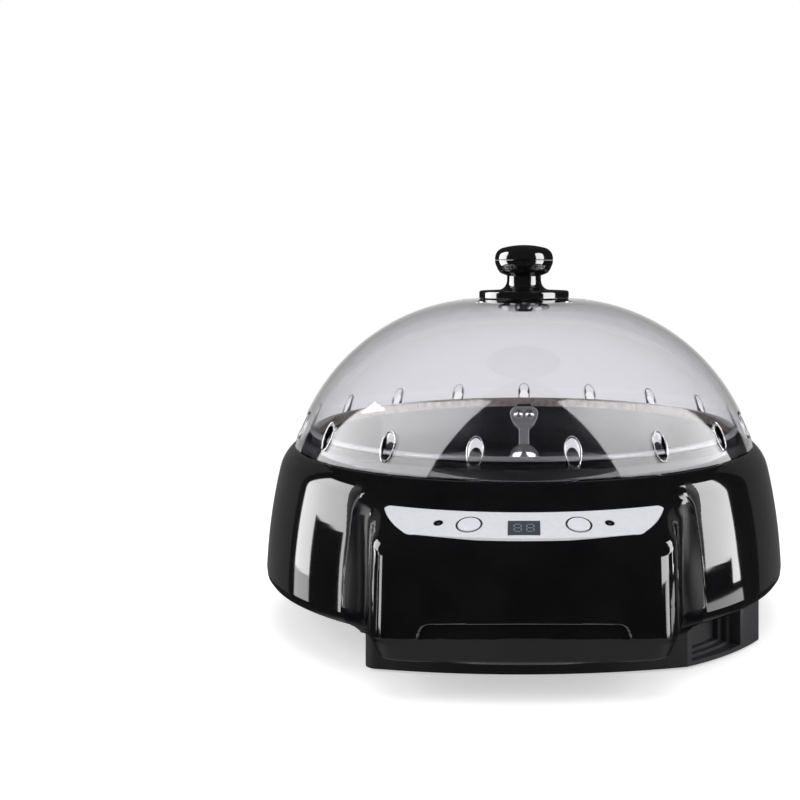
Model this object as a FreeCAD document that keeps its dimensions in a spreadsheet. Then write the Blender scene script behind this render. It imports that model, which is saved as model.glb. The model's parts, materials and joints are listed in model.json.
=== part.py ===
import FreeCAD, Part
import math
import os

import Sketcher
from FreeCAD import Placement, Rotation, Vector

# Countertop coffee bean roaster with a clear lift-off dome.
# Frame: +Z up, front towards -Y, Z = 0 on the table, origin under the middle of the bounding box.
# The roasting pan, the dome and the stirrer share one vertical axis, which stands axis_y behind the origin.
# All sizes are millimetres and degrees.

DIMS = {
    "axis_y": 8.3,
    # gloss housing: a skirt turned round the axis and a front block
    "shell_radius": 134.4,
    "shell_foot_radius": 129.6,
    "shell_shoulder_radius": 127.7,
    "shell_top_radius": 120.6,
    "shell_wall": 2.6,
    "shell_bottom": 21,
    "shell_belly": 26,
    "shell_shoulder": 76,
    "seat_height": 87,
    "seat_thickness": 4,
    "seat_inner_radius": 112,
    "spigot_radius": 116,
    "spigot_height": 4,
    # front block
    "block_front": 151,
    "block_half_width": 66,
    "block_arc": 272,
    "block_corner": 15,
    "block_flare": 17,
    "block_draft": 3,
    "block_bottom": 17.5,
    "chin_height": 29.3,
    "chin_inset": 0.8,
    "chin_draft": 17,
    "tab_height": 36.2,
    "tab_half_width": 43,
    "tab_depth": 1.3,
    # sloping control panel: part of a cone round the pan axis
    "panel_tilt": 21.5,
    "panel_inner_radius": 128.3,
    "panel_inner_height": 76.7,
    "panel_row_radius": 139,
    "plate_inner_radius": 130.3,
    "plate_outer_radius": 147.4,
    "plate_thickness": 1,
    "button_angle": 9.44,
    "led_angle": 14.92,
    "button_radius": 4.8,
    "button_gap": 0.5,
    "button_travel": 0.8,
    "led_radius": 1.8,
    "window_width": 13.4,
    "window_depth": 10,
    "window_radius": 140.6,
    # floor tub
    "tub_bottom": 1.25,
    "tub_wall": 2.5,
    "tub_front": 112,
    "tub_front_arc": 300,
    "tub_left": 71,
    "tub_right": 112.4,
    "tub_arc": 126,
    "tub_post_arc": 130,
    "tub_back": 112,
    "flange_bottom": 20.8,
    "flange_thickness": 2.7,
    "foot_radius": 7.5,
    # dome
    "dome_arc": 103,
    "dome_arc_offset": 21.2,
    "dome_arc_height": 59,
    "dome_wall": 1.8,
    "dome_bead": 2.3,
    "vent_count": 17,
    "vent_width": 6.6,
    "vent_depth": 4.8,
    "vent_radius": 116,
    "top_vent_count": 8,
    "top_vent_circle": 32,
    # knob
    "knob_flange_radius": 24,
    "knob_flange_thickness": 4.2,
    "knob_stem_radius": 9.1,
    "knob_radius": 15.6,
    "knob_parting": 182.4,
    "knob_top": 190.6,
    "knob_screw_radius": 2.4,
    # roasting pan and stirrer
    "pan_rim_height": 96,
    "pan_rim_radius": 110.6,
    "pan_bead": 1.6,
    "pan_floor": 53,
    "pan_floor_radius": 88,
    "pan_wall": 1.2,
    "boss_height": 63,
    "boss_radius": 9,
    "bush_radius": 6,
    "shaft_radius": 4,
    "shaft_gap": 0.05,
    "hub_bottom": 66.8,
    "arm_thickness": 2,
    "arm_width": 5.8,
    "arm_rise": 50,
    "arm_bend": 20.2,
    "head_width": 15.8,
    "head_length": 11,
    "blade_thickness": 1.5,
    "rivet_radius": 2.8,
    "rivet_spacing": 6.4,
    "front_rise": 30,
    "front_bend": 13,
    "nut_top": 84,
    # heating and drive
    "heater_circle": 70,
    "heater_radius": 3.5,
    "heater_height": 47.6,
    "shield_floor": 35.5,
    "shield_wall": 0.8,
    "shield_radius": 113.8,
    "motor_radius": 25,
    "motor_height": 22,
    "bracket_thickness": 1.6,
    "bracket_half_length": 48,
    "bracket_half_width": 17,
    "floor_boss_height": 10,
    # cord inlet
    "gland_bore": 3.7,
    "gland_height": 12,
}

doc = FreeCAD.newDocument("bean_roaster")
sheet = doc.addObject("Spreadsheet::Sheet", "dims")
for row, (alias, size) in enumerate(DIMS.items(), start=1):
    sheet.set("A%d" % row, alias)
    sheet.set("B%d" % row, str(size))
    sheet.setAlias("B%d" % row, alias)
doc.recompute()


class Dim:
    """A number that remembers the spreadsheet formula it came from."""

    def __init__(self, value, text=None):
        self.value = float(value)
        self.text = text if text is not None else repr(float(value))

    def __add__(self, other):
        other = dim(other)
        return Dim(self.value + other.value, "(%s + %s)" % (self.text, other.text))

    def __radd__(self, other):
        return dim(other) + self

    def __sub__(self, other):
        other = dim(other)
        return Dim(self.value - other.value, "(%s - %s)" % (self.text, other.text))

    def __rsub__(self, other):
        return dim(other) - self

    def __mul__(self, other):
        other = dim(other)
        return Dim(self.value * other.value, "(%s * %s)" % (self.text, other.text))

    def __rmul__(self, other):
        return dim(other) * self

    def __neg__(self):
        return Dim(0) - self


def dim(value):
    return value if isinstance(value, Dim) else Dim(value)


def size(alias):
    return Dim(DIMS[alias], "dims.%s" % alias)


def bind(obj, prop, value):
    value = dim(value)
    setattr(obj, prop, value.value)
    if "dims." in value.text:
        obj.setExpression(prop, value.text)


def sine(angle):
    return Dim(math.sin(math.radians(angle.value)), "sin(%s * 1 deg)" % angle.text)


def cosine(angle):
    return Dim(math.cos(math.radians(angle.value)), "cos(%s * 1 deg)" % angle.text)


def tangent(angle):
    return sine(angle) * Dim(1 / cosine(angle).value, "(1 / %s)" % cosine(angle).text)


# ---------------------------------------------------------------- sketches and features


def new_body(label):
    body = doc.addObject("PartDesign::Body", label)
    body.Label = label
    return body


def plane_of(body, role):
    for feature in body.Origin.OriginFeatures:
        if feature.Role == role:
            return feature
    raise ValueError(role)


def new_sketch(body, role, name, height=0, turn=None):
    """A sketch on one of the body's own origin planes, raised by height along the plane's normal."""
    sketch = body.newObject("Sketcher::SketchObject", name)
    sketch.AttachmentSupport = [(plane_of(body, role), "")]
    sketch.MapMode = "FlatFace"
    height = dim(height)
    rotation = turn if turn is not None else Rotation()
    sketch.AttachmentOffset = Placement(Vector(0, 0, height.value), rotation)
    if "dims." in height.text:
        sketch.setExpression(".AttachmentOffset.Base.z", height.text)
    return sketch


def pin_point(sketch, geo, pos, x, y):
    """Holds one vertex at its two distances from the sketch origin."""
    for kind, value in (("DistanceX", dim(x)), ("DistanceY", dim(y))):
        if abs(value.value) < 1e-9:
            aligned = "Vertical" if kind == "DistanceX" else "Horizontal"
            sketch.addConstraint(Sketcher.Constraint(aligned, -1, 1, geo, pos))
            continue
        index = sketch.addConstraint(Sketcher.Constraint(kind, -1, 1, geo, pos, value.value))
        if "dims." in value.text:
            sketch.setExpression("Constraints[%d]" % index, value.text)


def outline(sketch, corners):
    """Draws a closed outline. A corner is (x, y), or (x, y, radius) where an arc leads to it.

    A positive radius turns left on the way to the corner, a negative one turns right.
    """
    count = len(corners)
    ends = []
    for number in range(count):
        start = corners[number - 1]
        stop = corners[number]
        a = Vector(dim(start[0]).value, dim(start[1]).value, 0)
        b = Vector(dim(stop[0]).value, dim(stop[1]).value, 0)
        if len(stop) == 2:
            geo = sketch.addGeometry(Part.LineSegment(a, b), False)
            ends.append((geo, 1, 2))
            continue
        radius = dim(stop[2])
        reach = abs(radius.value)
        side = 1 if radius.value > 0 else -1
        chord = b - a
        middle = (a + b) * 0.5
        rise = math.sqrt(max(reach * reach - chord.Length * chord.Length / 4, 0))
        normal = Vector(-chord.y, chord.x, 0).normalize()
        centre = middle + normal * (side * rise)
        first, last = (a, b) if side > 0 else (b, a)
        angle1 = math.atan2(first.y - centre.y, first.x - centre.x)
        angle2 = math.atan2(last.y - centre.y, last.x - centre.x)
        circle = Part.Circle(centre, Vector(0, 0, 1), reach)
        geo = sketch.addGeometry(Part.ArcOfCircle(circle, angle1, angle2), False)
        ends.append((geo, 1, 2) if side > 0 else (geo, 2, 1))
        index = sketch.addConstraint(Sketcher.Constraint("Radius", geo, reach))
        if "dims." in radius.text:
            text = radius.text if side > 0 else "-(%s)" % radius.text
            sketch.setExpression("Constraints[%d]" % index, text)
    for number in range(count):
        geo, _, stop_pos = ends[number]
        following, start_pos, _ = ends[(number + 1) % count]
        sketch.addConstraint(Sketcher.Constraint("Coincident", geo, stop_pos, following, start_pos))
    for number in range(count):
        geo, _, stop_pos = ends[number]
        pin_point(sketch, geo, stop_pos, corners[number][0], corners[number][1])


def circle(sketch, x, y, radius):
    x, y, radius = dim(x), dim(y), dim(radius)
    shape = Part.Circle(Vector(x.value, y.value, 0), Vector(0, 0, 1), radius.value)
    geo = sketch.addGeometry(shape, False)
    index = sketch.addConstraint(Sketcher.Constraint("Radius", geo, radius.value))
    if "dims." in radius.text:
        sketch.setExpression("Constraints[%d]" % index, radius.text)
    pin_point(sketch, geo, 3, x, y)


def box_outline(sketch, x0, y0, x1, y1):
    outline(sketch, [(x0, y0), (x1, y0), (x1, y1), (x0, y1)])


def pad(body, sketch, name, length, reversed_=False, taper=0, both=False):
    feature = body.newObject("PartDesign::Pad", name)
    feature.Profile = sketch
    bind(feature, "Length", length)
    feature.Reversed = reversed_
    feature.Midplane = both
    if dim(taper).value:
        bind(feature, "TaperAngle", taper)
    return feature


def pocket(body, sketch, name, length, reversed_=False, both=False):
    feature = body.newObject("PartDesign::Pocket", name)
    feature.Profile = sketch
    bind(feature, "Length", length)
    feature.Reversed = reversed_
    feature.Midplane = both
    return feature


def turn(body, sketch, name, angle=360, cut=False, axis="V_Axis"):
    kind = "PartDesign::Groove" if cut else "PartDesign::Revolution"
    feature = body.newObject(kind, name)
    feature.Profile = sketch
    feature.ReferenceAxis = (sketch, [axis])
    feature.Angle = angle
    return feature


def polar(body, features, name, count):
    feature = body.newObject("PartDesign::PolarPattern", name)
    feature.Originals = features
    for axis in body.Origin.OriginFeatures:
        if axis.Role == "Z_Axis":
            feature.Axis = (axis, [""])
    feature.Angle = 360
    feature.Occurrences = count
    body.Tip = feature
    return feature


def lathe(label, corners):
    """A body turned round Z from one closed outline of (radius, height) corners."""
    body = new_body(label)
    sketch = new_sketch(body, "XZ_Plane", label + "_profile")
    outline(sketch, corners)
    turn(body, sketch, label + "_turn")
    return body


def cylinder(name, radius, height, x=0, y=0, z=0):
    obj = doc.addObject("Part::Cylinder", name)
    bind(obj, "Radius", radius)
    bind(obj, "Height", height)
    spot(obj, x, y, z)
    return obj


def block(name, length, width, height, x=0, y=0, z=0):
    """A box whose (x, y) is its middle and whose z is its underside."""
    length, width, height = dim(length), dim(width), dim(height)
    obj = doc.addObject("Part::Box", name)
    bind(obj, "Length", length)
    bind(obj, "Width", width)
    bind(obj, "Height", height)
    spot(obj, dim(x) - length * 0.5, dim(y) - width * 0.5, z)
    return obj


def spot(obj, x, y, z, rotation=None):
    x, y, z = dim(x), dim(y), dim(z)
    obj.Placement = Placement(Vector(x.value, y.value, z.value), rotation or Rotation())
    for letter, value in (("x", x), ("y", y), ("z", z)):
        if "dims." in value.text:
            obj.setExpression(".Placement.Base.%s" % letter, value.text)
    return obj


def fuse(name, pieces):
    obj = doc.addObject("Part::MultiFuse", name)
    obj.Shapes = pieces
    return obj


def cut(name, base, tool):
    obj = doc.addObject("Part::Cut", name)
    obj.Base = base
    obj.Tool = tool
    return obj


def common(name, base, tool):
    obj = doc.addObject("Part::Common", name)
    obj.Base = base
    obj.Tool = tool
    return obj


def round_edges(name, base, radius, pick):
    """Rounds the edges of base whose middle point pick() accepts."""
    doc.recompute()
    obj = doc.addObject("Part::Fillet", name)
    obj.Base = base
    chosen = []
    for number, edge in enumerate(base.Shape.Edges, start=1):
        middle = edge.valueAt((edge.FirstParameter + edge.LastParameter) / 2)
        if pick(edge, middle):
            chosen.append((number, radius, radius))
    obj.Edges = chosen
    return obj


def round_body(body, name, radius, pick):
    """Rounds the edges of the body's current tip whose middle point pick() accepts."""
    doc.recompute()
    tip = body.Tip
    chosen = []
    for number, edge in enumerate(tip.Shape.Edges, start=1):
        middle = edge.valueAt((edge.FirstParameter + edge.LastParameter) / 2)
        if pick(edge, middle):
            chosen.append("Edge%d" % number)
    feature = body.newObject("PartDesign::Fillet", name)
    feature.Base = (tip, chosen)
    feature.Radius = radius
    return feature


def panel_place(angle, radius, rise=0):
    """Frame on the control panel's cone: x across, y up the slope, z out of the panel."""
    tilt = DIMS["panel_tilt"]
    height = DIMS["panel_inner_height"]
    height -= (radius - DIMS["panel_inner_radius"]) * math.tan(math.radians(tilt))
    turn_z = Rotation(Vector(0, 0, 1), angle)
    tip = Rotation(Vector(1, 0, 0), tilt)
    base = turn_z.multVec(Vector(0, -radius, 0)) + Vector(0, 0, height)
    rotation = turn_z.multiply(tip)
    return Placement(base + rotation.multVec(Vector(0, 0, rise)), rotation)


NODES = []


def node(label, obj):
    """Names a finished piece and sets it on the roaster's axis."""
    obj.Label = label
    base = obj.Placement.Base
    obj.Placement = Placement(Vector(base.x, base.y + DIMS["axis_y"], base.z), obj.Placement.Rotation)
    if abs(base.y) < 1e-9 and not obj.Placement.Rotation.Angle:
        obj.setExpression(".Placement.Base.y", "dims.axis_y")
    NODES.append(obj)
    return obj


# ---------------------------------------------------------------- gloss housing

seat = size("seat_height")
wall = size("shell_wall")
slope = tangent(size("panel_tilt"))


def cone_height(radius, drop=0):
    """Height of the control panel's cone at a radius."""
    return size("panel_inner_height") - (dim(radius) - size("panel_inner_radius")) * slope - drop


def block_outline(sketch, inset=0, notch=None):
    """Plan of the front block: a shallow front arc, round corners and flares that run out into the skirt."""
    front = size("block_front") - inset
    side = size("block_half_width") - inset
    corner_x = side - 13.2
    corner_y = -(front - 5)
    side_y = -(front - 20.5)
    flare_y = -(front - 26.5)
    skirt_x = side + 13
    skirt_y = -(front - 43)
    outline(
        sketch,
        [
            (corner_x, corner_y, size("block_arc")),
            (side, side_y, size("block_corner")),
            (side + 0.6, flare_y),
            (skirt_x, skirt_y, -size("block_flare") - 2),
            (skirt_x - 25, -60),
            (-(skirt_x - 25), -60),
            (-skirt_x, skirt_y),
            (-(side + 0.6), flare_y, -size("block_flare") - 2),
            (-side, side_y),
            (-corner_x, corner_y, size("block_corner")),
        ],
    )


def block_loft(body, name, low, low_inset, high, high_inset):
    """The front block between two levels, drawn in towards one of them."""
    low_plan = new_sketch(body, "XY_Plane", name + "_low", low)
    block_outline(low_plan, inset=low_inset)
    high_plan = new_sketch(body, "XY_Plane", name + "_high", high)
    block_outline(high_plan, inset=high_inset)
    loft = body.newObject("PartDesign::AdditiveLoft", name)
    loft.Profile = low_plan
    loft.Sections = [high_plan]
    loft.Ruled = True
    return loft


housing_form = new_body("housing_form")
chin = size("chin_height")
block_height = seat - chin - 6
block_loft(housing_form, "block_loft", chin, 0, seat - 6, tangent(size("block_draft")) * block_height)

cone_cut = new_sketch(housing_form, "XZ_Plane", "panel_cone")
outline(
    cone_cut,
    [
        (size("panel_inner_radius") - 20, cone_height(size("panel_inner_radius") - 20)),
        (175, cone_height(175)),
        (175, 110),
        (size("panel_inner_radius") - 20, 110),
    ],
)
turn(housing_form, cone_cut, "panel_slope", cut=True)


def on_panel_edge(edge, middle):
    radius = math.hypot(middle.x, middle.y)
    return middle.y < -95 and radius > 126 and abs(middle.z - cone_height(radius).value) < 0.3 and edge.Length > 2


round_body(housing_form, "panel_edge_round", 5, on_panel_edge)

tab = new_sketch(housing_form, "XY_Plane", "chin_tab_plan", size("chin_height"))
tab_front = size("block_front") - size("tab_depth")
outline(
    tab,
    [
        (size("tab_half_width"), -(tab_front - 3.4), size("block_arc")),
        (size("tab_half_width"), -(tab_front + 12)),
        (-size("tab_half_width"), -(tab_front + 12)),
        (-size("tab_half_width"), -(tab_front - 3.4)),
    ],
)
pocket(housing_form, tab, "chin_tab", size("tab_height") - size("chin_height"), reversed_=True)

chin_low = size("chin_inset") + tangent(size("chin_draft")) * (chin - size("block_bottom"))
block_loft(housing_form, "chin_loft", size("block_bottom"), chin_low, chin, size("chin_inset"))

skirt = new_sketch(housing_form, "XZ_Plane", "skirt_profile")
skirt_corners = [
    (0, size("shell_bottom")),
    (size("shell_foot_radius"), size("shell_bottom")),
    (size("shell_radius"), size("shell_belly"), Dim(4.8)),
    (size("shell_shoulder_radius"), size("shell_shoulder"), Dim(270)),
    (size("shell_top_radius"), seat, Dim(19.3)),
    (0, seat),
]
outline(skirt, skirt_corners)
turn(housing_form, skirt, "skirt_turn")

# the hollow inside: the skirt and the block, each less the wall
housing_core = new_body("housing_core")
core_bottom = size("block_bottom") - 1
core_block = new_sketch(housing_core, "XY_Plane", "core_block_plan", core_bottom)
block_outline(core_block, inset=wall + 3.9)
pad(housing_core, core_block, "core_block_pad", 63.5)
core_cone = new_sketch(housing_core, "XZ_Plane", "core_cone")
core_start = size("panel_inner_radius") - 20
outline(
    core_cone,
    [
        (core_start, cone_height(core_start, 3.6)),
        (175, cone_height(175, 3.6)),
        (175, 110),
        (core_start, 110),
    ],
)
turn(housing_core, core_cone, "core_slope", cut=True)
core_skirt = new_sketch(housing_core, "XZ_Plane", "core_profile")
inner_foot = size("shell_foot_radius") - wall
inner_belly = size("shell_radius") - wall
inner_shoulder = size("shell_shoulder_radius") - wall
under_seat = seat - size("seat_thickness")
outline(
    core_skirt,
    [
        (0, core_bottom),
        (inner_foot, core_bottom),
        (inner_foot, size("shell_bottom") + 1),
        (inner_belly, size("shell_belly") + 1, Dim(9)),
        (inner_shoulder, size("shell_shoulder"), Dim(270)),
        (size("shell_top_radius") + 0.4, under_seat, Dim(14)),
        (size("seat_inner_radius"), under_seat),
        (size("seat_inner_radius"), seat + 1),
        (0, seat + 1),
    ],
)
turn(housing_core, core_skirt, "core_turn")

housing_shell = cut("housing_shell", housing_form, housing_core)

# spigot that centres the dome, and the screw pillars with their ribs
spigot = lathe(
    "dome_spigot",
    [
        (size("spigot_radius") - 2, seat - 1),
        (size("spigot_radius"), seat - 1),
        (size("spigot_radius"), seat + size("spigot_height") - 0.8),
        (size("spigot_radius") - 0.8, seat + size("spigot_height")),
        (size("spigot_radius") - 2, seat + size("spigot_height")),
    ],
)

flange_top = size("flange_bottom") + size("flange_thickness")
PILLAR_SKIRT = [(86.4, 86.4), (-86.4, 86.4), (122.2, 5), (-122.2, 5)]
PILLAR_BLOCK = [(56, -124), (-56, -124)]
BOARD_SCREWS = (-43, 43)
pillar_top = size("shell_shoulder") - 1
pillars = []
for number, (x, y) in enumerate(PILLAR_SKIRT):
    pillar = cylinder("pillar_%d" % number, 3.4, pillar_top - flange_top, x, y, flange_top)
    pillars.append(pillar)
    rib = doc.addObject("Part::Box", "pillar_rib_%d" % number)
    rib.Length = 8
    rib.Width = 2
    rib.Height = 34
    heading = math.degrees(math.atan2(y, x))
    rib.Placement = Placement(Vector(x, y, 28), Rotation(Vector(0, 0, 1), heading))
    rib.Placement = rib.Placement.multiply(Placement(Vector(-1, -1, 0), Rotation()))
    pillars.append(rib)
for number, (x, y) in enumerate(PILLAR_BLOCK):
    pillars.append(cylinder("block_pillar_%d" % number, 3.6, 70.5 - flange_top, x, y, flange_top))
board_bosses = []
for number, x in enumerate(BOARD_SCREWS):
    boss = cylinder("board_boss_%d" % number, 3, 7, 0, 0, 0)
    frame = panel_place(0, DIMS["panel_row_radius"])
    boss.Placement = frame.multiply(Placement(Vector(x, 5.5, -11), Rotation()))
    board_bosses.append(boss)
housing_solid = fuse("housing_solid", [housing_shell, spigot] + pillars + board_bosses)

# tools for the openings of the control panel
panel_tools = []


def plate_plan(sketch, grow=0):
    """Boat-shaped plan of the control plate, between two arcs round the pan axis."""
    inner = size("plate_inner_radius") - grow
    outer = size("plate_outer_radius") + grow
    grow = dim(grow)
    tip_x = 57.4 + grow
    bow_x = 60.3 + grow
    foot_x = 50.5 + grow
    outline(
        sketch,
        [
            (tip_x, Dim(-math.sqrt(inner.value**2 - tip_x.value**2)), inner),
            (bow_x, Dim(-math.sqrt((inner.value + 2.2) ** 2 - bow_x.value**2)), Dim(-2.2)),
            (foot_x, Dim(-math.sqrt((outer.value - 1.4) ** 2 - foot_x.value**2)), Dim(-48)),
            (foot_x - 5, Dim(-math.sqrt(outer.value**2 - (foot_x.value - 5) ** 2)), Dim(-6)),
            (-(foot_x - 5), Dim(-math.sqrt(outer.value**2 - (foot_x.value - 5) ** 2)), -outer),
            (-foot_x, Dim(-math.sqrt((outer.value - 1.4) ** 2 - foot_x.value**2)), Dim(-6)),
            (-bow_x, Dim(-math.sqrt((inner.value + 2.2) ** 2 - bow_x.value**2)), Dim(-48)),
            (-tip_x, Dim(-math.sqrt(inner.value**2 - tip_x.value**2)), Dim(-2.2)),
        ],
    )


def cone_slab(label, top, bottom, grow=0):
    """A slab between two levels under the panel's cone, cut to the control plate's plan."""
    column = new_body(label + "_plan")
    plan = new_sketch(column, "XY_Plane", label + "_plan_sketch", 55)
    plate_plan(plan, grow)
    pad(column, plan, label + "_column", 30)
    lift = dim(1 / math.cos(math.radians(DIMS["panel_tilt"])))
    slab = lathe(
        label + "_cone",
        [
            (120, cone_height(120) + lift * bottom),
            (155, cone_height(155) + lift * bottom),
            (155, cone_height(155) + lift * top),
            (120, cone_height(120) + lift * top),
        ],
    )
    return common(label, column, slab)


thick = size("plate_thickness")
plate_seat = cone_slab("plate_seat", 3, -(thick - 0.2), grow=0.15)


def panel_box(name, length, width, height, frame, low):
    """A box with its middle on a panel frame's axis and its underside at low."""
    box = doc.addObject("Part::Box", name)
    bind(box, "Length", length)
    bind(box, "Width", width)
    bind(box, "Height", height)
    corner = Vector(-dim(length).value / 2, -dim(width).value / 2, low)
    box.Placement = frame.multiply(Placement(corner, Rotation()))
    return box


def through_panel(name, radius, angle, row_radius):
    hole = cylinder(name, radius, 12)
    hole.Placement = panel_place(angle, row_radius, -8)
    return hole


row_radius = DIMS["panel_row_radius"]
hole_radius = size("button_radius") + size("button_gap")
button_holes = []
for name, side in (("power", -1), ("timer", 1)):
    angle = side * DIMS["button_angle"]
    button_holes.append(through_panel(name + "_hole", hole_radius, angle, row_radius))
led_holes = []
for name, side in (("left", -1), ("right", 1)):
    angle = side * DIMS["led_angle"]
    led_holes.append(through_panel(name + "_led_hole", size("led_radius"), angle, row_radius))
window_frame = panel_place(0, DIMS["window_radius"])
window_hole = panel_box("window_hole", size("window_width"), size("window_depth"), 12, window_frame, -8)
panel_openings = fuse("panel_openings", button_holes + led_holes + [window_hole])

screw_bores = []
for number, (x, y) in enumerate(PILLAR_SKIRT + PILLAR_BLOCK):
    screw_bores.append(cylinder("pillar_bore_%d" % number, 1.5, 16, x, y, flange_top - 1))
SHIELD_SCREWS = [(116.2 * math.sin(math.radians(a)), -116.2 * math.cos(math.radians(a))) for a in (60, 180, 300)]
for number, (x, y) in enumerate(SHIELD_SCREWS):
    screw_bores.append(cylinder("shield_bore_%d" % number, 1.3, 4, x, y, under_seat - 1))
for number, x in enumerate(BOARD_SCREWS):
    bore = cylinder("board_bore_%d" % number, 1.2, 7)
    frame = panel_place(0, DIMS["panel_row_radius"])
    bore.Placement = frame.multiply(Placement(Vector(x, 5.5, -12), Rotation()))
    screw_bores.append(bore)
housing_tools = fuse("housing_tools", [plate_seat, panel_openings] + screw_bores)
node("upper_housing", cut("upper_housing", housing_solid, housing_tools))

# ---------------------------------------------------------------- control panel

plate_blank = cone_slab("plate_blank", 0.2, -(thick - 0.2))
plate_openings = fuse("plate_openings", [])
plate_openings.Shapes = [
    through_panel("plate_power_hole", hole_radius, -DIMS["button_angle"], row_radius),
    through_panel("plate_timer_hole", hole_radius, DIMS["button_angle"], row_radius),
    through_panel("plate_left_led", size("led_radius"), -DIMS["led_angle"], row_radius),
    through_panel("plate_right_led", size("led_radius"), DIMS["led_angle"], row_radius),
]
plate_window = panel_box("plate_window", size("window_width"), size("window_depth"), 12, window_frame, -8)
plate_pierced = cut("plate_pierced", plate_blank, plate_openings)
node("control_panel_plate", cut("control_panel_plate", plate_pierced, plate_window))


def on_panel(label, body, angle, radius):
    body.Placement = panel_place(angle, radius)
    return node(label, body)


for name, side in (("power_button", -1), ("timer_button", 1)):
    stem_bottom = Dim(-5.3)
    button = lathe(
        name,
        [
            (0, stem_bottom),
            (1.8, stem_bottom),
            (1.8, -4.4),
            (size("button_radius") + 1.3, -4.4),
            (size("button_radius") + 1.3, -3.6),
            (size("button_radius"), -3.6),
            (size("button_radius"), 0.1),
            (size("button_radius") - 0.5, 0.6, Dim(0.5)),
            (0.4, 0.8, Dim(40)),
            (0, 0.8),
        ],
    )
    on_panel(name, button, side * DIMS["button_angle"], row_radius)

window = new_body("display_window")
window_plan = new_sketch(window, "XY_Plane", "window_plan", -0.8)
half_window = size("window_width") * 0.5
half_depth = size("window_depth") * 0.5
box_outline(window_plan, -half_window, -half_depth, half_window, half_depth)
pad(window, window_plan, "window_pad", 1.1)
on_panel("display_window", window, 0, DIMS["window_radius"])

module = new_body("display_module")
module_plan = new_sketch(module, "XY_Plane", "module_plan", -10.9)
box_outline(module_plan, -(half_window - 0.3), -(half_depth - 0.3), half_window - 0.3, half_depth - 0.3)
pad(module, module_plan, "module_pad", 10.1)
on_panel("display_module", module, 0, DIMS["window_radius"])

led_parts = []
for number, side in enumerate((-1, 1)):
    led_angle = side * DIMS["led_angle"]
    tube = cylinder("led_tube_%d" % number, size("led_radius"), 7.5)
    tube.Placement = panel_place(led_angle, row_radius, -9.2)
    lens = doc.addObject("Part::Sphere", "led_lens_%d" % number)
    bind(lens, "Radius", size("led_radius"))
    lens.Placement = panel_place(led_angle, row_radius, -1.7)
    led_parts.append(fuse("led_%d" % number, [tube, lens]))
leds = doc.addObject("Part::Compound", "indicator_leds")
leds.Links = led_parts
node("indicator_leds", leds)

board = new_body("control_board")
board_plan = new_sketch(board, "XY_Plane", "board_plan", -12.6)
box_outline(board_plan, -48, -4, 48, 9.5)
pad(board, board_plan, "board_pad", 1.6)
board_holes = new_sketch(board, "XY_Plane", "board_holes", -12.6)
for x in BOARD_SCREWS:
    circle(board_holes, x, 5.5, 1.3)
pocket(board, board_holes, "board_hole_cut", 1.6, reversed_=True)
on_panel("control_board", board, 0, row_radius)

switches = []
for number, side in enumerate((-1, 1)):
    switch_angle = side * DIMS["button_angle"]
    case = panel_box("switch_case_%d" % number, 6, 6, 3.2, panel_place(switch_angle, row_radius), -10)
    plunger = cylinder("switch_plunger_%d" % number, 1.6, 0.6)
    plunger.Placement = panel_place(switch_angle, row_radius, -6.8)
    switches.append(fuse("switch_%d" % number, [case, plunger]))
switch_pair = doc.addObject("Part::Compound", "tact_switches")
switch_pair.Links = switches
node("tact_switches", switch_pair)


def screw(name, shank_radius, length, head_radius, head_height, drive=True):
    """A pan-head screw along +Z: its head lies under Z = 0 and its shank stands on it."""
    body = new_body(name)
    profile = new_sketch(body, "XZ_Plane", name + "_profile")
    outline(
        profile,
        [
            (0, -head_height),
            (head_radius * 0.72, -head_height),
            (head_radius, -head_height * 0.45, Dim(head_radius * 0.6)),
            (head_radius, 0),
            (shank_radius, 0),
            (shank_radius, length - shank_radius),
            (shank_radius * 0.25, length),
            (0, length),
        ],
    )
    turn(body, profile, name + "_turn")
    if drive:
        cross = new_sketch(body, "XY_Plane", name + "_cross", -head_height)
        arm = head_radius * 0.5
        slot = head_radius * 0.13
        outline(
            cross,
            [
                (arm, slot),
                (slot, slot),
                (slot, arm),
                (-slot, arm),
                (-slot, slot),
                (-arm, slot),
                (-arm, -slot),
                (-slot, -slot),
                (-slot, -arm),
                (slot, -arm),
                (slot, -slot),
                (arm, -slot),
            ],
        )
        pocket(body, cross, name + "_drive", head_height * 0.5, reversed_=True)
    doc.recompute()
    return body


def several(label, piece, placements):
    """One node of identical solids, each an instance of the same piece."""
    copies = []
    for number, place in enumerate(placements):
        copy = doc.addObject("Part::Feature", "%s_%d" % (label, number))
        copy.Shape = piece.Shape.copy()
        copy.Placement = place.multiply(piece.Placement)
        copies.append(copy)
    group = doc.addObject("Part::Compound", label)
    group.Links = copies
    return node(label, group)


def at(x, y, z, flip=False):
    rotation = Rotation(Vector(1, 0, 0), 180) if flip else Rotation()
    return Placement(Vector(x, y, z), rotation)


board_screw = screw("board_screw", 1.2, 7, 2.6, 1.8)
board_frame = panel_place(0, row_radius)
several("control_board_screws", board_screw, [board_frame.multiply(at(x, 5.5, -12.6)) for x in BOARD_SCREWS])

# ---------------------------------------------------------------- floor tub

tub_bottom = size("tub_bottom")
tub_wall = size("tub_wall")
tub_depth = size("flange_bottom") - tub_bottom


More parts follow.
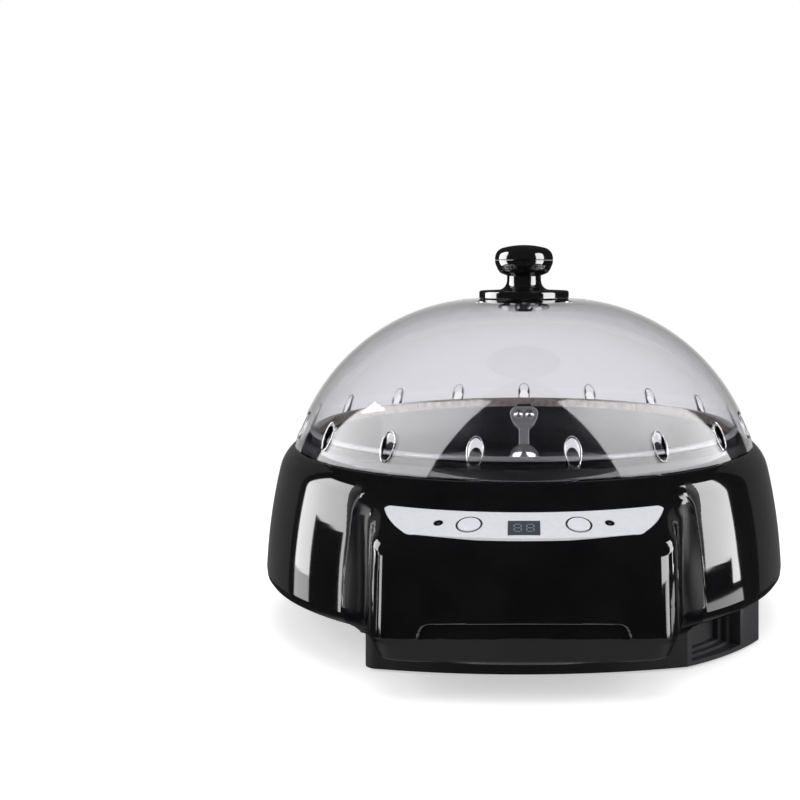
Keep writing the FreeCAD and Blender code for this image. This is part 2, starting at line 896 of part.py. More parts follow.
def tub_outline(sketch, inset=0, recess=False):
    """Plan of the tub: a wide front foot, a right front corner on the skirt's radius, a cut-back left front."""
    front = size("tub_front") - inset
    left = size("tub_left") - inset
    right = size("tub_right") - inset
    arc = size("tub_arc") - inset
    back = size("tub_back") - inset
    step_x = 72.8 - dim(inset) * 0.4
    step_y = -Dim(math.sqrt(arc.value**2 - step_x.value**2))
    post_arc = size("tub_post_arc") - inset
    post_x = right - 1.9
    post_y = -Dim(math.sqrt(post_arc.value**2 - post_x.value**2))
    corners = [
        (-(left - 6), -(front - 6.6)),
        (step_x, step_y, size("tub_front_arc")),
    ]
    if recess:
        deep = 115.0
        near = math.radians(34.0)
        far = math.radians(53.5)
        corners.append((deep * math.sin(near), -deep * math.cos(near)))
        corners.append((deep * math.sin(far), -deep * math.cos(far), Dim(deep)))
        corners.append((arc * math.sin(far), -(arc * math.cos(far))))
    corners += [
        (post_x, post_y, (arc + post_arc) * 0.5),
        (right, post_y + 7, Dim(8)),
        (right, 22),
        (22, back, Dim(118)),
        (-22, back),
        (-(right - 5), 22, Dim(116)),
        (-(right - 5), -8),
        (-left, -50),
        (-left, -(front - 12.4)),
    ]
    corners.append((-(left - 6), -(front - 6.6), Dim(6.3)))
    outline(sketch, corners[1:])


tub = new_body("base_pan")
tub_plan = new_sketch(tub, "XY_Plane", "tub_plan", tub_bottom)
tub_outline(tub_plan)
pad(tub, tub_plan, "tub_pad", tub_depth + 0.1)


flange_plan = new_sketch(tub, "XY_Plane", "flange_plan", size("flange_bottom"))
circle(flange_plan, 0, 0, size("shell_foot_radius") - wall - 0.6)
pad(tub, flange_plan, "flange_pad", size("flange_thickness"))
flange_block = new_sketch(tub, "XY_Plane", "flange_block_plan", size("flange_bottom"))
block_outline(flange_block, inset=wall + 4.4)
pad(tub, flange_block, "flange_block_pad", size("flange_thickness"))

tub_hollow = new_sketch(tub, "XY_Plane", "tub_hollow_plan", flange_top)
tub_outline(tub_hollow, inset=tub_wall, recess=True)
pocket(tub, tub_hollow, "tub_hollow", flange_top - tub_bottom - tub_wall)


def sector(sketch, inner, outer, start, stop):
    """A piece of a ring between two angles, counted from the front towards the right."""
    a, b = math.radians(start), math.radians(stop)
    outline(
        sketch,
        [
            (inner * math.sin(a), -inner * math.cos(a)),
            (outer * math.sin(a), -outer * math.cos(a)),
            (outer * math.sin(b), -outer * math.cos(b), Dim(outer)),
            (inner * math.sin(b), -inner * math.cos(b)),
            (inner * math.sin(a), -inner * math.cos(a), Dim(-inner)),
        ][1:],
    )


# stepped recess in the right front corner, open at the side
recess_top = size("flange_bottom")
for name, inner, start, stop, floor in (
    ("recess_outer", 123.4, 36.4, 51.4, 3.4),
    ("recess_middle", 120.6, 36.4, 49.9, 4.8),
    ("recess_inner", 118.0, 36.4, 48.4, 6.2),
):
    plan = new_sketch(tub, "XY_Plane", name + "_plan", floor)
    sector(plan, inner, 131.0, start, stop)
    pocket(tub, plan, name, recess_top - floor, reversed_=True)

# bosses on the floor: motor bracket, power board
BRACKET_SCREWS = [(sx * 54, sy * 10) for sx in (-1, 1) for sy in (-1, 1)]
BOARD_AT = (-48, 41)
BOARD_HALF = (32, 23)
POWER_SCREWS = [
    (BOARD_AT[0] + sx * (BOARD_HALF[0] - 4), BOARD_AT[1] + sy * (BOARD_HALF[1] - 4))
    for sx in (-1, 1)
    for sy in (-1, 1)
]
floor_top = tub_bottom + tub_wall
bosses = new_sketch(tub, "XY_Plane", "floor_boss_plan", floor_top - 0.1)
for x, y in BRACKET_SCREWS + POWER_SCREWS:
    circle(bosses, x, y, 3.6)
pad(tub, bosses, "floor_bosses", size("floor_boss_height") - floor_top + 0.1)
boss_bores = new_sketch(tub, "XY_Plane", "boss_bore_plan", size("floor_boss_height"))
for x, y in BRACKET_SCREWS + POWER_SCREWS:
    circle(boss_bores, x, y, 1.4)
pocket(tub, boss_bores, "boss_bores", 6)

# through holes: flange screws, feet, floor vents
flange_holes = new_sketch(tub, "XY_Plane", "flange_hole_plan", flange_top)
for x, y in PILLAR_SKIRT + PILLAR_BLOCK:
    circle(flange_holes, x, y, 1.7)
pocket(tub, flange_holes, "flange_holes", size("flange_thickness"))
FEET = [(-55, -88), (74, -78), (-74, 72), (74, 72)]
foot_holes = new_sketch(tub, "XY_Plane", "foot_hole_plan", floor_top)
for x, y in FEET:
    circle(foot_holes, x, y, 3)
pocket(tub, foot_holes, "foot_holes", tub_wall)
vents = new_sketch(tub, "XY_Plane", "floor_vent_plan", floor_top)
for column in range(-3, 4):
    x = column * 9
    reach = 16 - abs(column) * 1.5
    for y in (-56, 78):
        outline(
            vents,
            [
                (x + 1.5, y - reach),
                (x + 1.5, y + reach),
                (x - 1.5, y + reach, Dim(1.501)),
                (x - 1.5, y - reach),
                (x + 1.5, y - reach, Dim(1.501)),
            ][1:],
        )
pocket(tub, vents, "floor_vents", tub_wall)

# hole in the back wall for the cord inlet
inlet = new_sketch(tub, "XZ_Plane", "inlet_plan", -(size("tub_back") + 1))
circle(inlet, 0, size("gland_height"), 6)
pocket(tub, inlet, "inlet_hole", 6, reversed_=True)
node("base_pan", tub)

foot = lathe(
    "foot_form",
    [
        (0, 0),
        (size("foot_radius") - 0.8, 0),
        (size("foot_radius"), 0.8, Dim(0.8)),
        (size("foot_radius"), tub_bottom),
        (2.9, tub_bottom),
        (2.9, floor_top),
        (3.6, floor_top),
        (2.2, floor_top + 1.8),
        (0, floor_top + 1.8),
    ],
)
doc.recompute()
several("rubber_feet", foot, [at(x, y, 0) for x, y in FEET])

base_screw = screw("base_screw", 1.5, 12, 3, 1.9)
several(
    "base_screws",
    base_screw,
    [at(x, y, DIMS["flange_bottom"]) for x, y in PILLAR_SKIRT + PILLAR_BLOCK],
)

gland = new_body("cord_gland")
gland_profile = new_sketch(gland, "XZ_Plane", "gland_profile")
back = size("tub_back")
outline(
    gland_profile,
    [
        (size("gland_bore"), -8),
        (7.6, -8),
        (7.6, -5.6),
        (5.9, -5.6),
        (5.9, -3),
        (8.2, -3),
        (7.2, 0),
        (size("gland_bore"), 0),
    ],
)
turn(gland, gland_profile, "gland_turn")
gland.Placement = Placement(
    Vector(0, DIMS["tub_back"] + 3.0, DIMS["gland_height"]), Rotation(Vector(1, 0, 0), -90)
)
node("cord_gland", gland)

# ---------------------------------------------------------------- dome lid

dome_arc = size("dome_arc")
inner_arc = dome_arc - size("dome_wall")
offset = size("dome_arc_offset")
centre_z = size("dome_arc_height")


def arc_radius(arc, height):
    """Distance from the axis to the dome's arc at a height."""
    rise = DIMS["dome_arc_height"]
    reach = math.sqrt(arc.value**2 - (dim(height).value - rise) ** 2)
    text = "%s + sqrt(%s^2 - (%s - dims.dome_arc_height)^2)" % ("dims.dome_arc_offset", arc.text, dim(height).text)
    return Dim(DIMS["dome_arc_offset"] + reach, "(%s)" % text)


dome_top = centre_z + dome_arc
dome = new_body("dome_lid")
dome_profile = new_sketch(dome, "XZ_Plane", "dome_profile")
outline(
    dome_profile,
    [
        (size("knob_screw_radius") + 0.3, dome_top),
        (size("knob_screw_radius") + 0.3, dome_top - size("dome_wall")),
        (offset, dome_top - size("dome_wall")),
        (arc_radius(inner_arc, seat), seat, -inner_arc),
        (arc_radius(dome_arc, seat) + 0.3, seat),
        (arc_radius(dome_arc, seat) + 0.9, seat + 0.8, Dim(1.2)),
        (arc_radius(dome_arc, seat + 4.6), seat + 4.6, size("dome_bead")),
        (offset, dome_top, dome_arc),
    ],
)
turn(dome, dome_profile, "dome_turn")
vent = new_sketch(dome, "XY_Plane", "vent_plan", seat + 4.7)
half_vent = size("vent_width") * 0.5
vent_reach = size("vent_depth") * 0.5
outline(
    vent,
    [
        (half_vent, size("vent_radius") - 0.4, Dim(3.6)),
        (0, size("vent_radius") + vent_reach, Dim(3.1)),
        (-half_vent, size("vent_radius") - 0.4, Dim(3.1)),
        (0, size("vent_radius") - vent_reach, Dim(3.6)),
    ],
)
vent_cut = pocket(dome, vent, "vent_cut", 18, reversed_=True)
polar(dome, [vent_cut], "vent_ring", int(DIMS["vent_count"]))
top_vent = new_sketch(dome, "XY_Plane", "top_vent_plan", centre_z)
top_centre = size("top_vent_circle")
outline(
    top_vent,
    [
        (top_centre + 1, -1.5),
        (top_centre + 1, 1.5, Dim(1.501)),
        (top_centre - 1, 1.5),
        (top_centre - 1, -1.5, Dim(1.501)),
    ],
)
top_cut = pocket(dome, top_vent, "top_vent_cut", dome_arc + 5, reversed_=True)
polar(dome, [top_cut], "top_vent_ring", int(DIMS["top_vent_count"]))
node("dome_lid", dome)

stem = size("knob_stem_radius")
flange = size("knob_flange_radius")
flange_up = dome_top + size("knob_flange_thickness")
parting = size("knob_parting")
knob_r = size("knob_radius")
screw_r = size("knob_screw_radius")
node(
    "knob_base",
    lathe(
        "knob_base",
        [
            (screw_r, dome_top),
            (flange - 0.6, dome_top),
            (flange, dome_top + 0.6, Dim(0.6)),
            (flange, flange_up - 1.2),
            (flange - 1.2, flange_up, Dim(1.2)),
            (stem + 5.5, flange_up + 0.5),
            (stem + 0.5, flange_up + 4.6, Dim(-5.6)),
            (stem, flange_up + 6.6, Dim(-12)),
            (stem, parting - 8.2),
            (stem + 3.2, parting - 7),
            (knob_r - 1.1, parting - 3.8, Dim(7)),
            (knob_r, parting, Dim(8.5)),
            (6, parting),
            (6, parting - 6),
            (screw_r, parting - 6),
        ],
    ),
)
node(
    "knob_cap",
    lathe(
        "knob_cap",
        [
            (0, parting - 4),
            (5.9, parting - 4),
            (5.9, parting + 0.2),
            (knob_r - 0.3, parting + 0.2),
            (knob_r, parting + 0.8, Dim(0.7)),
            (knob_r - 0.5, parting + 3.4, Dim(9)),
            (knob_r - 4.2, size("knob_top") - 1.5, Dim(6)),
            (0.6, size("knob_top"), Dim(42)),
            (0, size("knob_top")),
        ],
    ),
)
under_dome = dome_top - size("dome_wall")
node(
    "knob_washer",
    lathe("knob_washer", [(screw_r, under_dome - 1.4), (9, under_dome - 1.4), (9, under_dome), (screw_r, under_dome)]),
)
screw_head = under_dome - 1.4
knob_screw = screw("knob_screw", DIMS["knob_screw_radius"], 17.5, 4.8, 3.2)
knob_screw.Placement = Placement(Vector(0, 0, screw_head.value), Rotation())
node("knob_screw", knob_screw)

# ---------------------------------------------------------------- roasting pan

rim = size("pan_rim_radius")
bead = size("pan_bead")
rim_mid = size("pan_rim_height") - bead
pan_floor = size("pan_floor")
pan_wall = size("pan_wall")
pan_under = pan_floor - pan_wall
boss_top = size("boss_height")
boss_r = size("boss_radius")
inside_top = rim - 1.8
floor_r = size("pan_floor_radius")
node(
    "roasting_pan",
    lathe(
        "roasting_pan",
        [
            (size("bush_radius") + 0.05, boss_top - pan_wall),
            (boss_r - 0.4, boss_top - pan_wall),
            (boss_r + 5.6, pan_under),
            (floor_r, pan_under),
            (floor_r + 15.7, pan_floor + 12.2, Dim(17.2)),
            (inside_top + pan_wall, rim_mid - 1.2),
            (rim, rim_mid - bead, Dim(-1.2)),
            (rim, rim_mid + bead, bead * 1.0001),
            (inside_top, rim_mid + 0.6, Dim(1.9)),
            (floor_r + 14.5, pan_floor + 12.4),
            (floor_r, pan_floor, Dim(-16)),
            (boss_r + 6.4, pan_floor),
            (boss_r, boss_top),
            (size("bush_radius") + 0.05, boss_top),
        ],
    ),
)
node(
    "pan_support_ring",
    lathe(
        "pan_support_ring",
        [
            (rim + 0.2, seat - 3),
            (rim + 1, seat - 3),
            (rim + 1, seat),
            (rim + 2.6, seat),
            (rim + 2.6, seat + 0.8),
            (rim + 1, seat + 0.8),
            (rim + 1, rim_mid - bead),
            (rim + 0.2, rim_mid - bead),
        ],
    ),
)

shaft_r = size("shaft_radius")
bush_bore = shaft_r + size("shaft_gap")
bush_r = size("bush_radius")
shield_floor = size("shield_floor")
node(
    "shaft_bush",
    lathe(
        "shaft_bush",
        [
            (bush_bore, shield_floor),
            (bush_r, shield_floor),
            (bush_r, boss_top),
            (boss_r - 0.4, boss_top),
            (boss_r - 0.4, boss_top + 1.4),
            (boss_r - 1.2, boss_top + 2),
            (bush_bore, boss_top + 2),
        ],
    ),
)


def hexagon(sketch, across_flats):
    radius = across_flats / math.sqrt(3)
    corners = []
    for step in range(6):
        angle = math.radians(60 * step)
        corners.append((radius * math.cos(angle), radius * math.sin(angle)))
    outline(sketch, corners)


bush_nut = new_body("bush_nut")
bush_nut_plan = new_sketch(bush_nut, "XY_Plane", "bush_nut_plan", boss_top - pan_wall - 4)
hexagon(bush_nut_plan, 14)
circle(bush_nut_plan, 0, 0, bush_r)
pad(bush_nut, bush_nut_plan, "bush_nut_pad", 4)
node("bush_nut", bush_nut)

# ---------------------------------------------------------------- stirrer, turning on the pan axis

hub = size("hub_bottom")
arm = size("arm_thickness")
blade = size("blade_thickness")
collar_bottom = boss_top + 2.3
node(
    "drive_shaft",
    lathe(
        "drive_shaft",
        [
            (0, shield_floor - 8),
            (shaft_r - 0.5, shield_floor - 8),
            (shaft_r, shield_floor - 7.5),
            (shaft_r, collar_bottom),
            (6.3, collar_bottom),
            (6.3, hub),
            (shaft_r, hub),
            (shaft_r, size("nut_top") - 6),
            (shaft_r - 0.7, size("nut_top") - 5.3),
            (0, size("nut_top") - 5.3),
        ],
    ),
)

arm_top = hub + arm
rise_angle = size("arm_rise")
front_angle = size("front_rise")
HEAD_END = 38.6
FRONT_END = 24.0

arms = new_body("stirrer_arms")
hub_plan = new_sketch(arms, "XY_Plane", "hub_plan", hub)
circle(hub_plan, 0, 0, 11)
pad(arms, hub_plan, "hub_disc", arm)


def bent_strip(body, name, bend, angle, length, sense):
    """Side view of one arm: flat from the hub to the bend, then rising to its end."""
    rise = math.radians(angle.value)
    bend = bend.value
    top = arm_top.value
    thickness = arm.value
    tip_r = bend + length * math.cos(rise)
    tip_z = top + length * math.sin(rise)
    low_r = tip_r + thickness * math.sin(rise)
    low_z = tip_z - thickness * math.cos(rise)
    knee = bend + thickness * math.tan(rise / 2)
    sketch = new_sketch(body, "YZ_Plane", name + "_side")
    corners = [
        (sense * 5.5, top),
        (sense * bend, top),
        (sense * tip_r, tip_z),
        (sense * low_r, low_z),
        (sense * knee, top - thickness),
        (sense * 5.5, top - thickness),
    ]
    outline(sketch, corners)
    pad(body, sketch, name, size("arm_width"), both=True)


bent_strip(arms, "back_strip", size("arm_bend"), rise_angle, HEAD_END - 5, 1)
bent_strip(arms, "front_strip", size("front_bend"), front_angle, FRONT_END - 5, -1)


def head_frame(bend, angle, sense):
    """Frame at the bend: y up along the arm's slope, z out of its upper face."""
    tilt = angle.value if sense > 0 else 180 + angle.value
    base = Vector(0, sense * bend.value, arm_top.value)
    if sense > 0:
        return Placement(base, Rotation(Vector(1, 0, 0), angle.value))
    return Placement(base, Rotation(Vector(0, 0, 1), 180).multiply(Rotation(Vector(1, 0, 0), angle.value)))


BACK_FRAME = head_frame(size("arm_bend"), rise_angle, 1)
FRONT_FRAME = head_frame(size("front_bend"), front_angle, -1)


def head_plate(body, name, frame, end, thickness, drop=0):
    """Spoon-shaped head of an arm, drawn on the arm's slope."""
    sketch = body.newObject("Sketcher::SketchObject", name + "_plan")
    sketch.AttachmentSupport = [(plane_of(body, "XY_Plane"), "")]
    sketch.MapMode = "FlatFace"
    sketch.AttachmentOffset = frame.multiply(Placement(Vector(0, 0, -drop), Rotation()))
    half = size("head_width") * 0.5
    neck = size("arm_width") * 0.5
    start = end - DIMS["head_length"] - 3.5
    outline(
        sketch,
        [
            (half, end - 5.6, Dim(13)),
            (half - 3.4, end, Dim(4.6)),
            (-(half - 3.4), end),
            (-half, end - 5.6, Dim(4.6)),
            (-neck, start, Dim(13)),
            (-neck, start - 4),
            (neck, start - 4),
            (neck, start),
        ],
    )
    pad(body, sketch, name, thickness, reversed_=True)


head_plate(arms, "back_head", BACK_FRAME, HEAD_END, arm)
head_plate(arms, "front_head", FRONT_FRAME, FRONT_END, arm)
shaft_hole = new_sketch(arms, "XY_Plane", "shaft_hole", arm_top)
circle(shaft_hole, 0, 0, shaft_r)
pocket(arms, shaft_hole, "shaft_hole_cut", arm)


def rivet_holes(body, name, frame, end, depth, drop=0):
    sketch = body.newObject("Sketcher::SketchObject", name + "_plan")
    sketch.AttachmentSupport = [(plane_of(body, "XY_Plane"), "")]
    sketch.MapMode = "FlatFace"
    sketch.AttachmentOffset = frame.multiply(Placement(Vector(0, 0, -drop), Rotation()))
    for side in (-0.5, 0.5):
        circle(sketch, size("rivet_spacing") * side, end - 5.2, 1.4)
    pocket(body, sketch, name, depth)


rivet_holes(arms, "back_rivet_holes", BACK_FRAME, HEAD_END, arm)
rivet_holes(arms, "front_rivet_holes", FRONT_FRAME, FRONT_END, arm)
node("stirrer_arms", arms)


def paddle(label, frame, end, sense, corners):
    """Blade of an arm: a tongue riveted behind the head, and a web that sweeps the pan."""
    body = new_body(label)
    web = new_sketch(body, "YZ_Plane", label + "_web_plan")
    outline(web, [(sense * r, z) if len(extra) == 0 else (sense * r, z, extra[0] * sense) for r, z, *extra in corners])
    pad(body, web, label + "_web", blade, both=True)
    tongue = body.newObject("Sketcher::SketchObject", label + "_tongue_plan")
    tongue.AttachmentSupport = [(plane_of(body, "XY_Plane"), "")]
    tongue.MapMode = "FlatFace"
    drop = arm.value
    tongue.AttachmentOffset = frame.multiply(Placement(Vector(0, 0, -drop), Rotation()))
    outline(
        tongue,
        [
            (4.2, end + 2.2),
            (3.2, end + 3.2, Dim(1)),
            (-3.2, end + 3.2),
            (-4.2, end + 2.2, Dim(1)),
            (-6.2, end - 1.5),
            (-6.2, end - 9.5),
            (6.2, end - 9.5),
            (6.2, end - 1.5),
        ],
    )
    pad(body, tongue, label + "_tongue", blade, reversed_=True)
    rivet_holes(body, label + "_rivet_holes", frame, end, blade, drop=drop)
    return node(label, body)


paddle(
    "stirrer_blade_outer",
    BACK_FRAME,
    HEAD_END,
    1,
    [
        (41.05, 89.3),
        (48.6, 98.2),
        (58.0, 92.0, 26.0),
        (101.0, 80.0),
        (98.0, 64.0),
        (89.0, 54.4, -14.0),
        (34.0, 54.4),
        (30.0, 58.4, -4.0),
    ],
)
paddle(
    "stirrer_blade_inner",
    FRONT_FRAME,
    FRONT_END,
    -1,
    [
        (27.0, 73.6),
        (36.5, 79.1),
        (62.0, 74.0),
        (66.0, 70.0, -4.0),
        (66.0, 56.4),
        (64.0, 54.4, -2.0),
        (24.0, 54.4),
        (21.0, 57.4, -3.0),
    ],
)

rivet = lathe(
    "rivet_form",
    [
        (0, -(arm + blade) - 1.2),
        (2.2, -(arm + blade) - 1.2),
        (2.2, -(arm + blade)),
        (1.4, -(arm + blade)),
        (1.4, 0),
        (size("rivet_radius"), 0),
        (size("rivet_radius") - 0.1, 0.6),
        (0.4, 2.0, Dim(3.4)),
        (0, 2.0),
    ],
)
doc.recompute()
rivet_spots = []
for frame, end in ((BACK_FRAME, HEAD_END), (FRONT_FRAME, FRONT_END)):
    for side in (-0.5, 0.5):
        rivet_spots.append(frame.multiply(at(DIMS["rivet_spacing"] * side, end - 5.2, 0)))
several("blade_rivets", rivet, rivet_spots)

washer_top = arm_top + 1.2
node(
    "arm_washer",
    lathe("arm_washer", [(shaft_r, arm_top), (8.8, arm_top), (8.8, washer_top), (shaft_r, washer_top)]),
)

nut = new_body("cap_nut")
nut_plan = new_sketch(nut, "XY_Plane", "nut_plan", washer_top)
hexagon(nut_plan, 14.4)
pad(nut, nut_plan, "nut_hexagon", 5.2)
nut_dome = new_sketch(nut, "XZ_Plane", "nut_dome_profile")
dome_base = washer_top + 5.2
outline(
    nut_dome,
    [
        (0, dome_base - 0.5),
        (7.4, dome_base - 0.5),
        (8.2, dome_base + 1, Dim(1.6)),
        (0.5, size("nut_top"), Dim(8.25)),
        (0, size("nut_top")),
    ],
)
turn(nut, nut_dome, "nut_dome")
nut_bore = new_sketch(nut, "XY_Plane", "nut_bore", washer_top)
circle(nut_bore, 0, 0, shaft_r)
pocket(nut, nut_bore, "nut_thread_bore", size("nut_top") - 5 - washer_top, reversed_=True)
node("cap_nut", nut)

# ---------------------------------------------------------------- heating and drive

TERMINAL_ANGLE = 10.0


def heater_path():
    """Centre line of the tubular element: an open ring with both ends bent down through the shield."""
    circle_radius = DIMS["heater_circle"]
    height = DIMS["heater_height"]
    bend = 8.0
    lead = math.degrees(bend / circle_radius)
    start = math.radians(90 + TERMINAL_ANGLE + lead)
    stop = math.radians(90 - TERMINAL_ANGLE - lead + 360)
    middle = (start + stop) / 2

    def on_ring(angle):
        return Vector(circle_radius * math.cos(angle), circle_radius * math.sin(angle), height)

    edges = []
    low = 26.0
    for side, angle in ((1, start), (-1, stop)):
        tip = on_ring(angle)
        ahead = Vector(math.sin(angle), -math.cos(angle), 0) * side
        foot = tip + ahead * bend + Vector(0, 0, -bend)
        knee = tip + ahead * (bend * math.sin(math.pi / 4))
        knee += Vector(0, 0, -bend * (1 - math.cos(math.pi / 4)))
        edges.append(Part.Arc(tip, knee, foot).toShape())
        edges.append(Part.makeLine(foot, Vector(foot.x, foot.y, low)))
    edges.append(Part.Arc(on_ring(start), on_ring(middle), on_ring(stop)).toShape())
    return Part.Wire(Part.__sortEdges__(edges)), edges


heater_wire, heater_edges = heater_path()
legs = [edge for edge in heater_edges if abs(edge.Vertexes[0].Point.z - edge.Vertexes[1].Point.z) > 8.5]
LEG_SPOTS = [(leg.Vertexes[0].Point.x, leg.Vertexes[0].Point.y) for leg in legs]

shield_t = size("shield_wall")
shield_r = size("shield_radius")
shield = lathe(
    "heat_shield",
    [
        (size("bush_radius") + 0.2, shield_floor),
        (shield_r - 10, shield_floor),
        (shield_r, shield_floor + 10, Dim(10.01)),
        (shield_r, under_seat - shield_t),
        (118.5, under_seat - shield_t),
        (118.5, under_seat),
        (shield_r - shield_t, under_seat),
        (shield_r - shield_t, shield_floor + 10),
        (shield_r - 10, shield_floor + shield_t, Dim(-9.21)),
        (size("bush_radius") + 0.2, shield_floor + shield_t),
    ],
)
MOTOR_SCREWS = [(-30, 0), (30, 0)]
shield_holes = new_sketch(shield, "XY_Plane", "shield_holes", shield_floor)
for x, y in LEG_SPOTS:
    circle(shield_holes, x, y, 4.6)
for x, y in MOTOR_SCREWS:
    circle(shield_holes, x, y, 2.1)
pocket(shield, shield_holes, "shield_hole_cut", shield_t, reversed_=True)
rim_holes = new_sketch(shield, "XY_Plane", "shield_rim_holes", under_seat)
for x, y in SHIELD_SCREWS:
    circle(rim_holes, x, y, 1.5)
pocket(shield, rim_holes, "shield_rim_cut", shield_t)
node("heat_shield", shield)
shield_screw = screw("shield_screw", 1.3, 3.6, 2.1, 1.5)
several(
    "shield_screws",
    shield_screw,
    [at(x, y, (under_seat - shield_t).value) for x, y in SHIELD_SCREWS],
)


start_vertex = heater_wire.OrderedVertexes[0].Point
section = Part.Wire(Part.makeCircle(DIMS["heater_radius"], start_vertex, Vector(0, 0, 1)))
heater = doc.addObject("Part::Feature", "heater_ring")
heater.Shape = heater_wire.makePipeShell([section], True, False)
heater.Placement = Placement()
node("heater_ring", heater)

bushings = []
for number, (x, y) in enumerate(LEG_SPOTS):
    outer = cylinder("terminal_outer_%d" % number, 6, 3, x, y, shield_floor + shield_t)
    lower = cylinder("terminal_lower_%d" % number, 4.5, 6, x, y, shield_floor + shield_t - 6)
    bore = cylinder("terminal_bore_%d" % number, size("heater_radius") + 0.02, 14, x, y, shield_floor - 6)
    bushings.append(cut("terminal_%d" % number, fuse("terminal_form_%d" % number, [outer, lower]), bore))
terminals = doc.addObject("Part::Compound", "heater_terminals")
terminals.Links = bushings
node("heater_terminals", terminals)

saddles = []
for number, degrees in enumerate((30, 150, 270)):
    x = DIMS["heater_circle"] * math.cos(math.radians(degrees))
    y = DIMS["heater_circle"] * math.sin(math.radians(degrees))
    saddle = doc.addObject("Part::Box", "saddle_%d" % number)
    saddle.Length = 14
    saddle.Width = 8
    bind(saddle, "Height", size("heater_height") - shield_floor - shield_t - 0.5)
    turn_z = Rotation(Vector(0, 0, 1), degrees)
    saddle.Placement = Placement(
        Vector(x, y, (shield_floor + shield_t).value) + turn_z.multVec(Vector(-7, -4, 0)), turn_z
    )
    ring = doc.addObject("Part::Torus", "saddle_groove_%d" % number)
    bind(ring, "Radius1", size("heater_circle"))
    bind(ring, "Radius2", size("heater_radius") + 0.05)
    spot(ring, 0, 0, size("heater_height"))
    saddles.append(cut("heater_saddle_%d" % number, saddle, ring))
saddle_set = doc.addObject("Part::Compound", "heater_saddles")
saddle_set.Links = saddles
node("heater_saddles", saddle_set)

cutout_disc = cylinder("cutout_disc", 8.2, 5.4, 0, -38, pan_under - 5.4)
cutout_body = cylinder("cutout_body", 7, 5, 0, -38, pan_under - 10.4)
cutout_tabs = block("cutout_tabs", 24, 6, 0.8, 0, -38, pan_under - 7)
node("thermostat", fuse("thermostat", [cutout_disc, cutout_body, cutout_tabs]))
fuse_can = doc.addObject("Part::Cylinder", "fuse_can")
fuse_can.Radius = 2.2
fuse_can.Height = 12
spot(fuse_can, -38, -24, pan_under - 2.25, Rotation(Vector(0, 1, 0), 90))
fuse_lead = doc.addObject("Part::Cylinder", "fuse_lead")
fuse_lead.Radius = 0.6
fuse_lead.Height = 26
spot(fuse_lead, -45, -24, pan_under - 2.25, Rotation(Vector(0, 1, 0), 90))
node("thermal_fuse", fuse("thermal_fuse", [fuse_can, fuse_lead]))

bracket_t = size("bracket_thickness")
bracket_top = shield_floor
leg_foot = size("floor_boss_height")
bracket = new_body("motor_bracket")
bracket_side = new_sketch(bracket, "XZ_Plane", "bracket_profile")
half = size("bracket_half_length")
outline(
    bracket_side,
    [
        (half, bracket_top),
        (-half, bracket_top),
        (-half, leg_foot + bracket_t),
        (-(half + 12), leg_foot + bracket_t),
        (-(half + 12), leg_foot),
        (-(half - bracket_t), leg_foot),
        (-(half - bracket_t), bracket_top - bracket_t),
        (half - bracket_t, bracket_top - bracket_t),
        (half - bracket_t, leg_foot),
        (half + 12, leg_foot),
        (half + 12, leg_foot + bracket_t),
        (half, leg_foot + bracket_t),
    ],
)
pad(bracket, bracket_side, "bracket_pad", size("bracket_half_width") * 2, both=True)
bracket_holes = new_sketch(bracket, "XY_Plane", "bracket_holes", bracket_top)
circle(bracket_holes, 0, 0, shaft_r + 1)
for x, y in MOTOR_SCREWS:
    circle(bracket_holes, x, y, 2.1)
pocket(bracket, bracket_holes, "bracket_hole_cut", bracket_t)
foot_slots = new_sketch(bracket, "XY_Plane", "bracket_foot_holes", leg_foot + bracket_t)
for x, y in BRACKET_SCREWS:
    circle(foot_slots, x, y, 1.6)
pocket(bracket, foot_slots, "bracket_foot_cut", bracket_t)
node("motor_bracket", bracket)
bracket_screw = screw("bracket_screw", 1.4, 7, 2.8, 1.9)
several(
    "bracket_screws",
    bracket_screw,
    [at(x, y, (leg_foot + bracket_t).value, flip=True) for x, y in BRACKET_SCREWS],
)

motor_top = bracket_top - bracket_t
motor_r = size("motor_radius")
motor_can = lathe(
    "motor_can",
    [
        (0, motor_top - size("motor_height")),
        (motor_r - 1.5, motor_top - size("motor_height")),
        (motor_r, motor_top - size("motor_height") + 1.5, Dim(1.5)),
        (motor_r, motor_top),
        (bush_bore, motor_top),
        (bush_bore, motor_top - 7),
        (0, motor_top - 7),
    ],
)
motor_ears = new_sketch(motor_can, "XY_Plane", "motor_ear_plan", motor_top - 3)
outline(
    motor_ears,
    [
        (30, -5),
        (30, 5, Dim(5.001)),
        (18, 15),
        (-18, 15),
        (-30, 5),
        (-30, -5, Dim(5.001)),
        (-18, -15),
        (18, -15),
    ],
)
circle(motor_ears, 0, 0, bush_bore)
pad(motor_can, motor_ears, "motor_ears", 3)
ear_holes = new_sketch(motor_can, "XY_Plane", "ear_holes", motor_top)
for x, y in MOTOR_SCREWS:
    circle(ear_holes, x, y, 1.8)
pocket(motor_can, ear_holes, "ear_hole_cut", 3)
node("gear_motor", motor_can)
motor_screw = screw("motor_screw", 1.8, 6, 3.6, 2.4)
several(
    "motor_screws",
    motor_screw,
    [at(x, y, (shield_floor + shield_t).value, flip=True) for x, y in MOTOR_SCREWS],
)

# ---------------------------------------------------------------- power board in the tub

